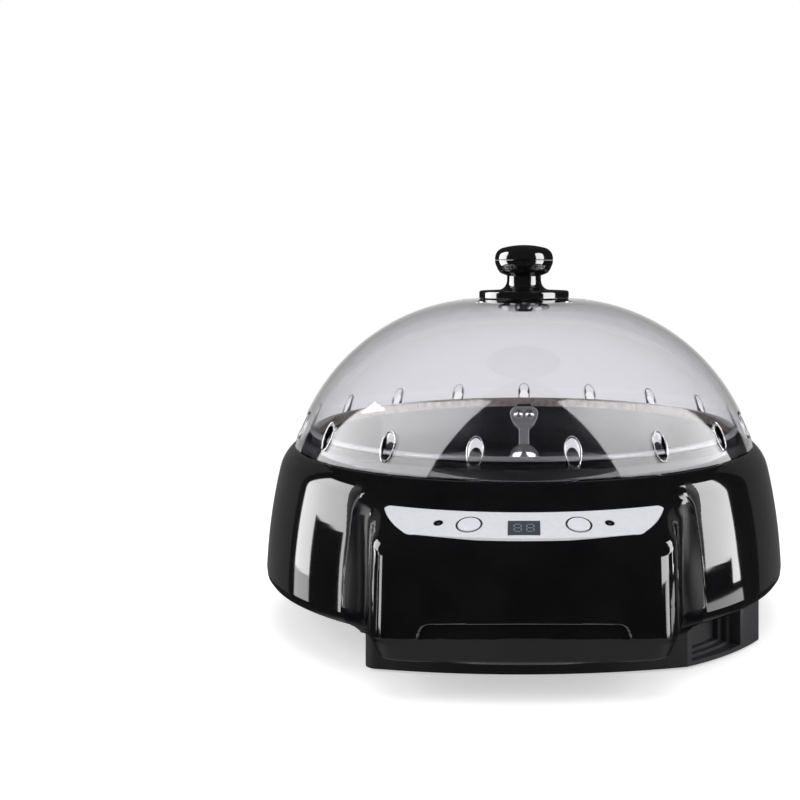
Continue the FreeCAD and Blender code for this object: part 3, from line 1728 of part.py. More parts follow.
power = new_body("power_board")
power_plan = new_sketch(power, "XY_Plane", "power_plan", leg_foot)
x0, y0 = BOARD_AT
box_outline(power_plan, x0 - BOARD_HALF[0], y0 - BOARD_HALF[1], x0 + BOARD_HALF[0], y0 + BOARD_HALF[1])
for x, y in POWER_SCREWS:
    circle(power_plan, x, y, 1.6)
pad(power, power_plan, "power_pad", 1.6)
node("power_board", power)
board_top = leg_foot + 1.6
power_screw = screw("power_screw", 1.4, 6, 2.6, 1.8)
several(
    "power_board_screws",
    power_screw,
    [at(x, y, board_top.value, flip=True) for x, y in POWER_SCREWS],
)
node("power_relay", block("power_relay", 19, 15, 15.5, x0 + 14, y0 - 6, board_top))
core = block("transformer_core", 30, 14, 20, x0 - 12, y0 + 8, board_top)
coil = block("transformer_coil", 18, 22, 16, x0 - 12, y0 + 8, board_top + 2)
node("power_transformer", fuse("power_transformer", [core, coil]))

# ---------------------------------------------------------------- checks and export

doc.recompute()
bad = [obj.Name for obj in doc.Objects if "Invalid" in obj.State or "Error" in obj.State]
if bad:
    raise RuntimeError("failed objects: %s" % ", ".join(bad))
os.makedirs("parts", exist_ok=True)
for obj in NODES:
    shape = obj.Shape
    if shape.isNull() or not shape.isValid() or not shape.Solids:
        raise RuntimeError("bad shape: %s" % obj.Label)
    print("%-22s solids %d volume %.1f" % (obj.Label, len(shape.Solids), shape.Volume))
for old in os.listdir("parts"):
    if old.endswith(".step"):
        os.remove(os.path.join("parts", old))
for obj in NODES:
    obj.Shape.exportStep("parts/%s.step" % obj.Label)
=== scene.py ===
import json
import math

import bmesh
import bpy
import numpy as np
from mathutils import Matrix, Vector


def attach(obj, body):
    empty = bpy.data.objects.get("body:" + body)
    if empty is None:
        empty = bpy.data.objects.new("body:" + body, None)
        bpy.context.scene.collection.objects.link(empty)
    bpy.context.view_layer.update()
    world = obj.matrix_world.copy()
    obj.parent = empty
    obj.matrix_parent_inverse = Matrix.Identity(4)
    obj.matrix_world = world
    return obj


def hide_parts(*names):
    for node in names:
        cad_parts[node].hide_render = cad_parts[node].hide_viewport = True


# Countertop coffee bean roaster under soft boxes on a white sweep.
# Sizes are in millimetres: radius from the dome's axis, height over the table, and the front at negative y.

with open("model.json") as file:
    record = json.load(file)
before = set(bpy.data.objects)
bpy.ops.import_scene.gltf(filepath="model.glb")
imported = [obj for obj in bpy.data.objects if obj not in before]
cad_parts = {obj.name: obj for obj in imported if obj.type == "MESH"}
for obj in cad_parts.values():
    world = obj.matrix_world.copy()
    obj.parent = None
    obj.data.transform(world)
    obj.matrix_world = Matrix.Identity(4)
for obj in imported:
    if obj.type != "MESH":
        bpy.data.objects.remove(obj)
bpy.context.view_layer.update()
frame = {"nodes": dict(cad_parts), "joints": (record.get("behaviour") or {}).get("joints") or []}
MM = 0.001
AXIS_Y = next(j for j in frame["joints"] if j["name"] == "stirrer_spin")["pos_m"][1]

# seat and dome
SEAT = 87.0
SPIGOT, SPIGOT_INNER, SPIGOT_RISE = 116.0, 113.2, 4.0
DOME_ARC, DOME_OFFSET, DOME_CENTRE, DOME_WALL = 103.0, 21.2, 59.0, 1.8
DOME_TOP, INNER_ARC = DOME_CENTRE + DOME_ARC, DOME_ARC - DOME_WALL
CROWN_HOLE = 2.7
VENTS, VENT_RADIUS, VENT_WIDTH, VENT_DEPTH = 17, 116.0, 6.6, 4.8
CROWN_VENTS, CROWN_RADIUS, CROWN_WIDTH, CROWN_DEPTH = 8, 32.0, 3.0, 5.0
LIP = 0.32

# knob
PARTING, KNOB_TOP, PARTING_GAP = 182.4, 190.6, 0.14
FLANGE, STEM, CAP, KNOB_BORE, SOCKET, PEG = 24.0, 9.1, 15.6, 2.4, 6.0, 5.9

# skirt: foot, widest place, shoulder and top, with the arcs that lead to them
SKIRT_BOTTOM, WIDEST_HEIGHT, SHOULDER_HEIGHT = 21.0, 26.0, 76.0
FOOT_RADIUS, WIDEST_RADIUS, SHOULDER_RADIUS, TOP_RADIUS = 129.6, 134.4, 127.7, 120.6
FOOT_BEND, SKIRT_ARC, SHOULDER_BEND = 4.8, 270.0, 19.3

# front block in plan: arched face, corner, straight side, flare, and a root inside the skirt
BLOCK_FRONT, BLOCK_HALF, BLOCK_ARC, BLOCK_CORNER, BLOCK_FLARE = 151.0, 66.0, 272.0, 15.0, 19.0
FACE_HALF, FACE_END = BLOCK_HALF - 13.2, -(BLOCK_FRONT - 5)
SIDE_FRONT, SIDE_BACK, SIDE_SPREAD = -(BLOCK_FRONT - 20.5), -(BLOCK_FRONT - 26.5), 0.6
FLARE_HALF, FLARE_BACK = BLOCK_HALF + 13, -(BLOCK_FRONT - 43)
ROOT_HALF, ROOT_BACK = FLARE_HALF - 25, -60.0

# front block in section: chin, tab and crease
BLOCK_BOTTOM, CHIN, CHIN_DRAFT, CHIN_STEP, UPPER_DRAFT = 17.5, 29.3, 17.0, 0.8, 3.0
TAB_TOP, TAB_HALF, TAB_CORNER, TAB_DEPTH = 35.5, 43.0, 4.5, 1.3
ROUND_CHIN, ROUND_BOTTOM, ROUND_TAB, ROUND_SLOPE, ROUND_SKIRT = 0.5, 1.2, 0.35, 5.0, 2.2
CREASE_SAG, SAG_LOW, SAG_LOW_FADE, SAG_HIGH, SAG_HIGH_FADE = 0.0006, 19.0, 6.0, 50.0, 10.0
BLOCK_LIMIT = 95.0

# sloping panel with its row of buttons and lamps, placed by angle from the front in degrees
PANEL_TILT, PANEL_RADIUS, PANEL_HEIGHT, ROW_RADIUS = 21.5, 128.3, 76.7, 139.0
TILT = math.radians(PANEL_TILT)
BUTTON_ANGLE, LED_ANGLE, WINDOW_RADIUS, OPENING = 9.44, 14.92, 140.6, 7.3
# radii of the painted shade round each button and of the dark round at each lamp
BUTTON_GAP_SHADE, LAMP_DOT = 5.65, 2.1

# display: two digits of flat strokes
DIGIT_PLACE, DIGIT_WIDE, DIGIT_TALL, STROKE, STROKE_GAP, DIGIT_RISE = 2.6, 1.45, 2.5, 0.3, 0.35, 0.05

# pan: hub, flat floor, wall and rolled rim
PAN_BORE, HUB_RADIUS, HUB_TOP, HUB_FOOT = 6.05, 9.0, 63.0, 15.4
PAN_FLOOR, PAN_SHEET, PAN_FLAT, PAN_BEND = 53.0, 1.2, 88.0, 16.0
WALL_RADIUS, WALL_RISE = 102.5, 12.4
RIM_TOP, RIM_RADIUS, BEAD, BARE_DEPTH = 96.0, 110.6, 1.6, 5.2
RIM_MID, RIM_INSIDE = RIM_TOP - BEAD, RIM_RADIUS - 1.8


# ---------------- materials


def add_node(tree, kind, inputs=None, **settings):
    """A new node with its settings, and with values on its sockets."""
    made = tree.nodes.new(kind)
    for key, value in settings.items():
        setattr(made, key, value)
    for socket, value in (inputs or {}).items():
        made.inputs[socket].default_value = value
    return made


def surface(mat):
    return mat.node_tree.nodes["Principled BSDF"].inputs


def map_range(tree, source, start, stop, low, high):
    """Leads start to low and stop to high, and holds both ends."""
    ends = {"From Min": start, "From Max": stop, "To Min": low, "To Max": high}
    made = add_node(tree, "ShaderNodeMapRange", ends)
    tree.links.new(source, made.inputs["Value"])
    return made.outputs["Result"]


def noise(tree, scale, detail=4.0):
    """Noise in object space, in cells per metre."""
    place = add_node(tree, "ShaderNodeTexCoord")
    made = add_node(tree, "ShaderNodeTexNoise", {"Scale": scale, "Detail": detail})
    tree.links.new(place.outputs["Object"], made.inputs["Vector"])
    return made.outputs["Fac"]


def shader(name, color, rough, metal=0.0, ior=1.5, coat=0.0, transmission=0.0):
    mat = bpy.data.materials.new(name)
    mat.use_nodes = True
    settings = {
        "Base Color": (*color, 1.0),
        "Roughness": rough,
        "Metallic": metal,
        "IOR": ior,
        "Coat Weight": coat,
        "Transmission Weight": transmission,
    }
    for socket, value in settings.items():
        surface(mat)[socket].default_value = value
    mat.diffuse_color = (*color, 1.0)
    return mat


def vary_roughness(mat, low, high, scale, detail=4.0):
    tree = mat.node_tree
    tree.links.new(map_range(tree, noise(tree, scale, detail), 0, 1, low, high), surface(mat)["Roughness"])
    return mat


def vary_color(mat, dark, light, scale, detail=4.0):
    tree = mat.node_tree
    ramp = add_node(tree, "ShaderNodeValToRGB")
    for stop, place, color in zip(ramp.color_ramp.elements, (0.3, 0.7), (dark, light)):
        stop.position = place
        stop.color = (*color, 1)
    tree.links.new(noise(tree, scale, detail), ramp.inputs["Fac"])
    tree.links.new(ramp.outputs["Color"], surface(mat)["Base Color"])
    return mat


def shades(color, *shares):
    """The colour made darker or lighter, up to white."""
    return [tuple(min(1, c * share) for c in color) for share in shares]


def bump(mat, strength, distance, scale, detail=4.0):
    tree = mat.node_tree
    relief = add_node(tree, "ShaderNodeBump", {"Strength": strength, "Distance": distance})
    tree.links.new(noise(tree, scale, detail), relief.inputs["Height"])
    tree.links.new(relief.outputs["Normal"], surface(mat)["Normal"])
    return mat


def gloss_black():
    mat = shader("gloss_black", (0.003, 0.003, 0.0035), 0.05, ior=1.6, coat=0.2)
    vary_color(mat, (0.002, 0.002, 0.0025), (0.004, 0.004, 0.0045), 60)
    vary_roughness(mat, 0.035, 0.075, 45)
    return bump(mat, 0.06, 0.0004, 26, detail=1.5)


def matte_black():
    mat = shader("matte_black", (0.02, 0.02, 0.023), 0.5)
    vary_color(mat, (0.018, 0.018, 0.021), (0.024, 0.024, 0.027), 700)
    vary_roughness(mat, 0.42, 0.58, 900)
    return bump(mat, 0.25, 0.0002, 2600)


def clear_plastic():
    mat = shader("clear_polycarbonate", (0.9, 0.893, 0.922), 0.02, ior=1.5, transmission=1.0)
    vary_roughness(mat, 0.01, 0.03, 40)
    return mat


def knob_black():
    mat = shader("knob_black", (0.005, 0.005, 0.005), 0.08, ior=1.75, coat=0.3)
    vary_color(mat, (0.004, 0.004, 0.004), (0.007, 0.007, 0.007), 300)
    return vary_roughness(mat, 0.05, 0.1, 160)


def silver_sheet():
    mat = shader("panel_silver", (0.58, 0.59, 0.62), 0.34)
    vary_color(mat, (0.56, 0.57, 0.6), (0.6, 0.61, 0.64), 500)
    return vary_roughness(mat, 0.28, 0.4, 900)


def white_plastic():
    mat = shader("button_white", (0.6, 0.61, 0.65), 0.3)
    vary_color(mat, (0.58, 0.59, 0.63), (0.62, 0.63, 0.67), 400)
    return vary_roughness(mat, 0.24, 0.36, 800)


def satin_steel(name="satin_steel", color=(0.56, 0.56, 0.57), rough=(0.2, 0.38)):
    mat = shader(name, color, 0.3, metal=1.0)
    vary_color(mat, *shades(color, 0.88, 1.08), 900)
    vary_roughness(mat, *rough, 1300)
    return bump(mat, 0.05, 0.0001, 2400)


def nonstick():
    mat = shader("nonstick_coating", (0.035, 0.036, 0.044), 0.3, coat=0.15)
    vary_color(mat, (0.028, 0.029, 0.036), (0.042, 0.043, 0.052), 260, detail=8.0)
    vary_roughness(mat, 0.22, 0.42, 500, detail=8.0)
    return bump(mat, 0.12, 0.0002, 1500)


def bare_rim():
    mat = shader("bare_rim", (0.5, 0.44, 0.41), 0.45, metal=0.25)
    vary_color(mat, (0.34, 0.27, 0.24), (0.66, 0.6, 0.57), 330, detail=9.0)
    vary_roughness(mat, 0.3, 0.6, 700, detail=8.0)
    return bump(mat, 0.2, 0.0003, 900)


def polished_steel(name="pressed_steel", color=(0.62, 0.62, 0.63), metal=0.6):
    mat = shader(name, color, 0.2, metal=metal)
    vary_color(mat, *shades(color, 0.85, 1.1), 700)
    # painted highlight along the part's edges
    paint_edge_highlights(mat)
    return vary_roughness(mat, 0.14, 0.26, 900)


def paint_edge_highlights(mat):
    """Painted highlight: lightens the edges of a pressed sheet part and makes them less metallic, where a
    small bevel would turn the normal and catch the light.
    """
    # the last two are the colour and metalness of the painted edge highlight
    reach, kept, turned, edge_highlight_color, edge_highlight_metal = 0.0009, 0.995, 0.95, (0.9, 0.9, 0.9, 1), 0.1
    tree = mat.node_tree
    base, metal = surface(mat)["Base Color"], surface(mat)["Metallic"]
    rounded = add_node(tree, "ShaderNodeBevel", {"Radius": reach})
    match = add_node(tree, "ShaderNodeVectorMath", operation="DOT_PRODUCT")
    tree.links.new(rounded.outputs["Normal"], match.inputs[0])
    tree.links.new(add_node(tree, "ShaderNodeNewGeometry").outputs["Normal"], match.inputs[1])
    edge = map_range(tree, match.outputs["Value"], kept, turned, 0, 1)
    tint = add_node(tree, "ShaderNodeMix", {"B": edge_highlight_color}, data_type="RGBA")
    tree.links.new(edge, tint.inputs["Factor"])
    tree.links.new(base.links[0].from_socket, tint.inputs["A"])
    tree.links.new(tint.outputs["Result"], base)
    tree.links.new(map_range(tree, edge, 0, 1, metal.default_value, edge_highlight_metal), metal)


def paint_dark_discs(mat, obj, dots, color):
    """Paints dark discs on a surface: each dot is a centre in the world and a radius, in metres."""
    tree = mat.node_tree
    base = surface(mat)["Base Color"]
    place = add_node(tree, "ShaderNodeTexCoord")
    to_local = obj.matrix_world.inverted()
    for centre, radius in dots:
        gap = add_node(tree, "ShaderNodeVectorMath", {1: to_local @ Vector(centre)}, operation="DISTANCE")
        tree.links.new(place.outputs["Object"], gap.inputs[0])
        inside = add_node(tree, "ShaderNodeMath", {1: radius}, operation="LESS_THAN")
        tree.links.new(gap.outputs["Value"], inside.inputs[0])
        dark_disc = add_node(tree, "ShaderNodeMix", {"B": (*color, 1)}, data_type="RGBA")
        tree.links.new(inside.outputs[0], dark_disc.inputs["Factor"])
        tree.links.new(base.links[0].from_socket, dark_disc.inputs["A"])
        tree.links.new(dark_disc.outputs["Result"], base)


def plain(name, color, rough, spread=0.08, scale=700, metal=0.0, ior=1.5, height=0.1):
    """Moulded, cast or coated surface with a slight mottle and grain."""
    mat = shader(name, color, rough, metal, ior)
    vary_color(mat, *shades(color, 1 - spread, 1 + spread), scale)
    vary_roughness(mat, max(0.03, rough - 0.07), rough + 0.07, scale * 1.4)
    return bump(mat, height, 0.0002, scale * 2)


GLOSS = gloss_black()
MATTE = matte_black()
CLEAR = clear_plastic()
KNOB = knob_black()
SILVER = silver_sheet()
WHITE = white_plastic()
STEEL = satin_steel()
NONSTICK = nonstick()
RIM = bare_rim()
BLADE = plain("blade_coating", (0.02, 0.02, 0.022), 0.4)
RUBBER = plain("rubber", (0.012, 0.012, 0.012), 0.75, scale=1500)
DISPLAY = plain("display_window", (0.045, 0.05, 0.062), 0.16, height=0.02)
SEGMENT = plain("display_segments", (0.13, 0.145, 0.17), 0.3, height=0.02)
PRESSED = polished_steel()
RIVET = polished_steel("nickel_plate", (0.7, 0.7, 0.71), 0.8)
# lighter metal on the bead's top: partly wear, partly a painted highlight along the rim
BEAD_WEAR_AND_HIGHLIGHT = plain("bead_wear_and_highlight", (0.5, 0.5, 0.51), 0.35, metal=0.2)
# painted highlight for the thin light line along the tab's edge
TAB_EDGE_HIGHLIGHT = plain("tab_edge_painted_highlight", (0.11, 0.11, 0.115), 0.3)
FLARE = plain("gloss_black_soft", (0.003, 0.003, 0.004), 0.2, ior=1.22, height=0.02)
LENS = plain("led_lens", (0.05, 0.055, 0.065), 0.2, height=0.02)
DARK_GREY = plain("module_grey", (0.05, 0.05, 0.055), 0.45)
BOARD = plain("circuit_board", (0.015, 0.12, 0.05), 0.35, spread=0.2, scale=220)
BRASS = satin_steel("turned_brass", (0.68, 0.5, 0.24), (0.2, 0.35))
ALUMINIUM = satin_steel("mill_aluminium", (0.72, 0.72, 0.74), (0.28, 0.46))
HEATER = satin_steel("oxidised_sheath", (0.2, 0.18, 0.17), (0.35, 0.55))
CERAMIC = plain("glazed_ceramic", (0.78, 0.76, 0.7), 0.25)
ZINC = satin_steel("zinc_plate", (0.5, 0.5, 0.52), (0.25, 0.42))
IRON = plain("laminations", (0.1, 0.1, 0.11), 0.5, spread=0.25, scale=1200, metal=0.7)

# ---------------- mesh helpers

STEPS_PER_RADIAN, LONGEST_STEP = 16, 2.5
CORNER_STEPS, CORNER_SHARE = 6, 0.45


def along(*corners):
    """Points along a path of corners (x, y) or (x, y, signed radius) where an arc leads to the corner."""
    points = [np.array(corners[0][:2], float)]
    for corner in corners[1:]:
        start, stop = points[-1], np.array(corner[:2], float)
        if len(corner) == 2:
            points.append(stop)
            continue
        radius = corner[2]
        chord = stop - start
        length = np.linalg.norm(chord)
        rise = math.sqrt(max(radius * radius - length * length / 4, 0))
        side = 1 if radius > 0 else -1
        centre = (start + stop) / 2 + np.array([-chord[1], chord[0]]) / length * rise * side
        first = math.atan2(*(start - centre)[::-1])
        sweep = 2 * math.asin(min(1, length / 2 / abs(radius))) * side
        steps = max(4, int(abs(sweep) * STEPS_PER_RADIAN), int(length / LONGEST_STEP))
        for step in range(1, steps + 1):
            angle = first + sweep * step / steps
            points.append(centre + abs(radius) * np.array([math.cos(angle), math.sin(angle)]))
    return points


def soften(points, radius, closed=False, limit=25):
    """Rounds the corners of a path that turn by more than limit degrees."""
    count = len(points)
    result = []
    for i, p in enumerate(points):
        if not closed and i in (0, count - 1):
            result.append(p)
            continue
        before, after = points[i - 1] - p, points[(i + 1) % count] - p
        lb, la = np.linalg.norm(before), np.linalg.norm(after)
        if lb < 1e-9 or la < 1e-9:
            continue
        cosine = np.clip(np.dot(before, after) / (lb * la), -1, 1)
        if 180 - math.degrees(math.acos(cosine)) < limit:
            result.append(p)
            continue
        reach = min(radius, lb * CORNER_SHARE, la * CORNER_SHARE)
        a, b = p + before / lb * reach, p + after / la * reach
        for t in np.linspace(0, 1, CORNER_STEPS):
            result.append(a * (1 - t) ** 2 + 2 * p * t * (1 - t) + b * t * t)
    return result


def mesh_object(name, verts, faces, mats, body, replaces=(), sharp=30, weighted=True, face_mats=None):
    """A visible piece. Verts are in millimetres from the dome's axis, and face_mats numbers the materials."""
    mesh = bpy.data.meshes.new(name)
    points = np.asarray(verts, float) * MM
    points[:, 1] += AXIS_Y
    mesh.from_pydata(points.tolist(), [], [list(map(int, f)) for f in faces])
    obj = bpy.data.objects.new(name, mesh)
    bpy.context.scene.collection.objects.link(obj)
    for mat in mats:
        mesh.materials.append(mat)
    if face_mats is not None:
        mesh.polygons.foreach_set("material_index", np.asarray(face_mats, np.int32))
    mesh.validate()
    finish_mesh(obj, sharp, weighted)
    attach(obj, body)
    if replaces:
        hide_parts(*replaces)
    return obj


def finish_mesh(obj, sharp, weighted):
    """Shades smooth, but for edges that turn by more than sharp degrees."""
    obj.data.shade_smooth()
    obj.data.set_sharp_from_angle(angle=math.radians(sharp))
    if weighted:
        made = obj.modifiers.new("weighted", "WEIGHTED_NORMAL")
        made.keep_sharp = True


def lathe(name, profile, mats, body, replaces, segments, sharp=30, pick=None):
    """Turns a closed profile of (radius, height) round the axis. pick(r, z) numbers a face's material."""
    profile = np.array(profile)
    count = len(profile)
    angles = np.linspace(0, 2 * math.pi, segments, endpoint=False)
    verts = np.stack(
        [
            np.outer(np.cos(angles), profile[:, 0]),
            np.outer(np.sin(angles), profile[:, 0]),
            np.tile(profile[:, 1], (segments, 1)),
        ],
        axis=2,
    ).reshape(-1, 3)
    faces, numbers = [], []
    for row in range(count):
        other = (row + 1) % count
        middle = (profile[row] + profile[other]) / 2
        number = pick(*middle) if pick else 0
        if profile[row][0] < 1e-6 and profile[other][0] < 1e-6:
            continue
        for k in range(segments):
            n = (k + 1) % segments
            faces.append((k * count + row, n * count + row, n * count + other, k * count + other))
            numbers.append(number)
    verts, faces, numbers = weld(verts, faces, numbers)
    return mesh_object(name, verts, faces, mats, body, replaces, sharp, face_mats=numbers)


def weld(verts, faces, numbers):
    """Joins vertices that fall on one point, such as those on the axis, and drops faces that vanish."""
    keys, order, remap = {}, [], []
    for p in np.round(verts, 5).tolist():
        key = (p[0] + 0.0, p[1] + 0.0, p[2])
        if key not in keys:
            keys[key] = len(order)
            order.append(p)
        remap.append(keys[key])
    kept, kept_numbers = [], []
    for face, number in zip(faces, numbers):
        loop = []
        for v in face:
            w = remap[v]
            if w not in loop:
                loop.append(w)
        if len(loop) > 2:
            kept.append(loop)
            kept_numbers.append(number)
    return np.array(order), kept, kept_numbers


def grid_faces(rows, columns, wrap=True):
    faces = []
    for r in range(rows - 1):
        for c in range(columns if wrap else columns - 1):
            n = (c + 1) % columns
            faces.append((r * columns + c, r * columns + n, (r + 1) * columns + n, (r + 1) * columns + c))
    return faces


# ---------------- housing


def round_max(a, b, r):
    return np.minimum(-r, np.maximum(a, b)) + np.hypot(np.maximum(a + r, 0), np.maximum(b + r, 0))


def round_min(a, b, r):
    return np.maximum(r, np.minimum(a, b)) - np.hypot(np.maximum(r - a, 0), np.maximum(r - b, 0))


def polygon_distance(px, py, outline):
    """Signed distance to a closed outline, negative inside."""
    best = np.full(px.shape, 1e9)
    inside = np.zeros(px.shape, bool)
    for i in range(len(outline)):
        ax, ay = outline[i - 1]
        bx, by = outline[i]
        ex, ey = bx - ax, by - ay
        span = ex * ex + ey * ey
        if span < 1e-12:
            continue
        t = np.clip(((px - ax) * ex + (py - ay) * ey) / span, 0, 1)
        best = np.minimum(best, (px - ax - t * ex) ** 2 + (py - ay - t * ey) ** 2)
        crosses = (ay > py) != (by > py)
        inside ^= crosses & (px < ex * (py - ay) / (ey if abs(ey) > 1e-12 else 1e-12) + ax)
    return np.where(inside, -1, 1) * np.sqrt(best)


BLOCK_PLAN = along(
    (-FACE_HALF, FACE_END),
    (FACE_HALF, FACE_END, BLOCK_ARC),
    (BLOCK_HALF, SIDE_FRONT, BLOCK_CORNER),
    (BLOCK_HALF + SIDE_SPREAD, SIDE_BACK),
    (FLARE_HALF, FLARE_BACK, -BLOCK_FLARE),
    (ROOT_HALF, ROOT_BACK),
    (-ROOT_HALF, ROOT_BACK),
    (-FLARE_HALF, FLARE_BACK),
    (-BLOCK_HALF - SIDE_SPREAD, SIDE_BACK, -BLOCK_FLARE),
    (-BLOCK_HALF, SIDE_FRONT),
    (-FACE_HALF, FACE_END, BLOCK_CORNER),
)
SKIRT = along(
    (0, SKIRT_BOTTOM),
    (FOOT_RADIUS, SKIRT_BOTTOM),
    (WIDEST_RADIUS, WIDEST_HEIGHT, FOOT_BEND),
    (SHOULDER_RADIUS, SHOULDER_HEIGHT, SKIRT_ARC),
    (TOP_RADIUS, SEAT, SHOULDER_BEND),
    (0, SEAT),
)


def panel_level(radius):
    return PANEL_HEIGHT - (radius - PANEL_RADIUS) * math.tan(TILT)


def row_place(angle):
    """A place on the panel's row, at an angle from the front in degrees."""
    turn = math.radians(angle)
    return ROW_RADIUS * math.sin(turn), -ROW_RADIUS * math.cos(turn)


def housing_field(x, y, z):
    """Signed distance, about, to the housing's outside. The chin's crease drops a little to both sides."""
    radius = np.hypot(x, y)
    skirt = polygon_distance(radius, z, SKIRT)
    plan = polygon_distance(x, y, BLOCK_PLAN)
    sag = CREASE_SAG * np.minimum(x * x, BLOCK_HALF**2)
    for gap, fade in ((SAG_HIGH - z, SAG_HIGH_FADE), (z - SAG_LOW, SAG_LOW_FADE)):
        sag = sag * np.clip(gap / fade, 0, 1)
    z = z + sag
    upper_side = plan + math.tan(math.radians(UPPER_DRAFT)) * (z - CHIN)
    upper = round_max(upper_side, CHIN - z, ROUND_CHIN)
    lower_side = plan + CHIN_STEP + math.tan(math.radians(CHIN_DRAFT)) * (CHIN - z)
    lower = round_max(lower_side, BLOCK_BOTTOM - z, ROUND_BOTTOM)
    lower = np.maximum(lower, z - CHIN - 0.1)
    tab_plan = round_max(np.abs(x) - TAB_HALF, z - TAB_TOP, TAB_CORNER)
    tab = np.maximum(round_max(tab_plan, CHIN - 0.6 - z, 0.1), -(upper_side + TAB_DEPTH))
    upper = round_max(upper, -tab, ROUND_TAB)
    block = np.minimum(upper, lower)
    slope = (z - panel_level(radius)) * math.cos(TILT)
    block = round_max(block, slope, ROUND_SLOPE)
    block = np.maximum(block, np.abs(x) - BLOCK_LIMIT)
    return round_min(skirt, block, ROUND_SKIRT)


# width of the painted highlight line at the tab, and of the softer band in the flares
TAB_HIGHLIGHT_WIDTH, FLARE_BAND = 0.32, 4.0
FACE_BACK, BLOCK_BACK = -120.0, -100.0


def housing_finish(points, faces, lip):
    """Material numbers: 1 satin inner lip, 2 a painted highlight line along the tab's edge, 3 the softer
    gloss in both flares.
    """
    faces = np.array(faces)
    x, y, z = points[faces].mean(axis=1).T
    side = np.abs(x)
    plan = polygon_distance(x, y, BLOCK_PLAN)
    tab = round_max(side - TAB_HALF, z + CREASE_SAG * x * x - TAB_TOP, TAB_CORNER)
    # faces along the tab's edge that get the painted highlight
    line = (np.abs(tab) < TAB_HIGHLIGHT_WIDTH) & (z > CHIN) & (y < FACE_BACK)
    flare = (side > BLOCK_HALF + 1) & (side < FLARE_HALF) & (np.abs(plan) < FLARE_BAND) & (y < BLOCK_BACK)
    return np.select([faces.min(axis=1) >= lip, line, flare], [1, 2, 3], 0)


# The skin is cast outward from a circle inside the housing. These runs are a start, a stop and a step:
# degrees from the front, heights on the face at FACE_RADIUS, and radii on the slope.
CORE_RADIUS, CORE_HEIGHT, FACE_RADIUS, START_RADIUS = 117.0, 55.0, 149.5, 126.0
SIDE_RUNS = (1.5, 13.5, 1.5), (13.5, 19.5, 0.25), (19.5, 38, 0.18), (38, 180, 1.2)
CHIN_RUNS = (BLOCK_BOTTOM, 21.5, 0.3), (21.5, 28.2, 0.8), (28.2, 31.2, 0.2), (31.2, 34.4, 0.8)
FACE_RUNS = (34.4, 37.6, 0.22), (37.6, 61, 1.4), (61, 70.5, 0.45)
SLOPE_RUNS = (149, 129.5, -0.9), (129.5, 127.6, -0.25)
SHOULDER_START, SEAT_STEPS, START_STEPS = 77.3, (120.3, 119.8, 118.9), 9
NEAREST, FURTHEST, HALVINGS, SAMPLE = 3.0, 62.0, 22, 0.02
TUCK, TUCK_RISE = 0.985, 6.0
LIP_PROFILE = (
    (118.5, SEAT),
    (SPIGOT + 0.4, SEAT),
    (SPIGOT, SEAT + 0.4),
    (SPIGOT, SEAT + SPIGOT_RISE - 0.7),
    (SPIGOT - 0.7, SEAT + SPIGOT_RISE),
    (SPIGOT_INNER + 0.8, SEAT + SPIGOT_RISE),
    (SPIGOT_INNER + 0.2, SEAT + SPIGOT_RISE - 0.4),
    (SPIGOT_INNER, SEAT),
    (SPIGOT_INNER - 1.2, SEAT),
    (SPIGOT_INNER - 1.2, SEAT - 4),
)


def stepped(*runs):
    return np.concatenate([np.arange(*run) for run in runs])


def skin_azimuths():
    """Angles round the axis, closest together where the block's corners and flares are."""
    half = np.concatenate([[0], stepped(*SIDE_RUNS), [180]])
    return np.radians(np.concatenate([-half[::-1][:-1], half[:-1]]))


def skin_turns():
    """Angles in a section, from the foot round the chin, the face, the slope and the shoulder to the seat."""
    section = [(FACE_RADIUS, z) for z in stepped(*CHIN_RUNS, *FACE_RUNS)]
    section += [(r, panel_level(r)) for r in stepped(*SLOPE_RUNS)]
    shoulder = along((SHOULDER_RADIUS, SHOULDER_HEIGHT), (TOP_RADIUS, SEAT, SHOULDER_BEND))
    section += [tuple(p) for p in shoulder if p[1] > SHOULDER_START]
    section += [(r, SEAT) for r in SEAT_STEPS]
    turns = np.array(sorted(math.atan2(z - CORE_HEIGHT, r - CORE_RADIUS) for r, z in section))
    start = math.atan2(BLOCK_BOTTOM - CORE_HEIGHT, START_RADIUS - CORE_RADIUS)
    return np.concatenate([np.linspace(start, turns[0], START_STEPS + 1)[:-1], turns])


def cast_skin(azimuths, turns):
    """Points where rays from the core leave the housing, and the field's normals there."""
    around, upward = np.meshgrid(azimuths, turns)
    low, high = np.full(around.shape, NEAREST), np.full(around.shape, FURTHEST)

    def at(reach):
        radius = CORE_RADIUS + reach * np.cos(upward)
        return radius * np.sin(around), -radius * np.cos(around), CORE_HEIGHT + reach * np.sin(upward)

    for _ in range(HALVINGS):
        middle = (low + high) / 2
        inside = housing_field(*at(middle)) < 0
        low, high = np.where(inside, middle, low), np.where(inside, high, middle)
    x, y, z = at((low + high) / 2)
    normals = np.stack(
        [
            housing_field(x + SAMPLE, y, z) - housing_field(x - SAMPLE, y, z),
            housing_field(x, y + SAMPLE, z) - housing_field(x, y - SAMPLE, z),
            housing_field(x, y, z + SAMPLE) - housing_field(x, y, z - SAMPLE),
        ],
        2,
    )
    return np.stack([x, y, z], 2), normals / np.linalg.norm(normals, axis=2, keepdims=True)


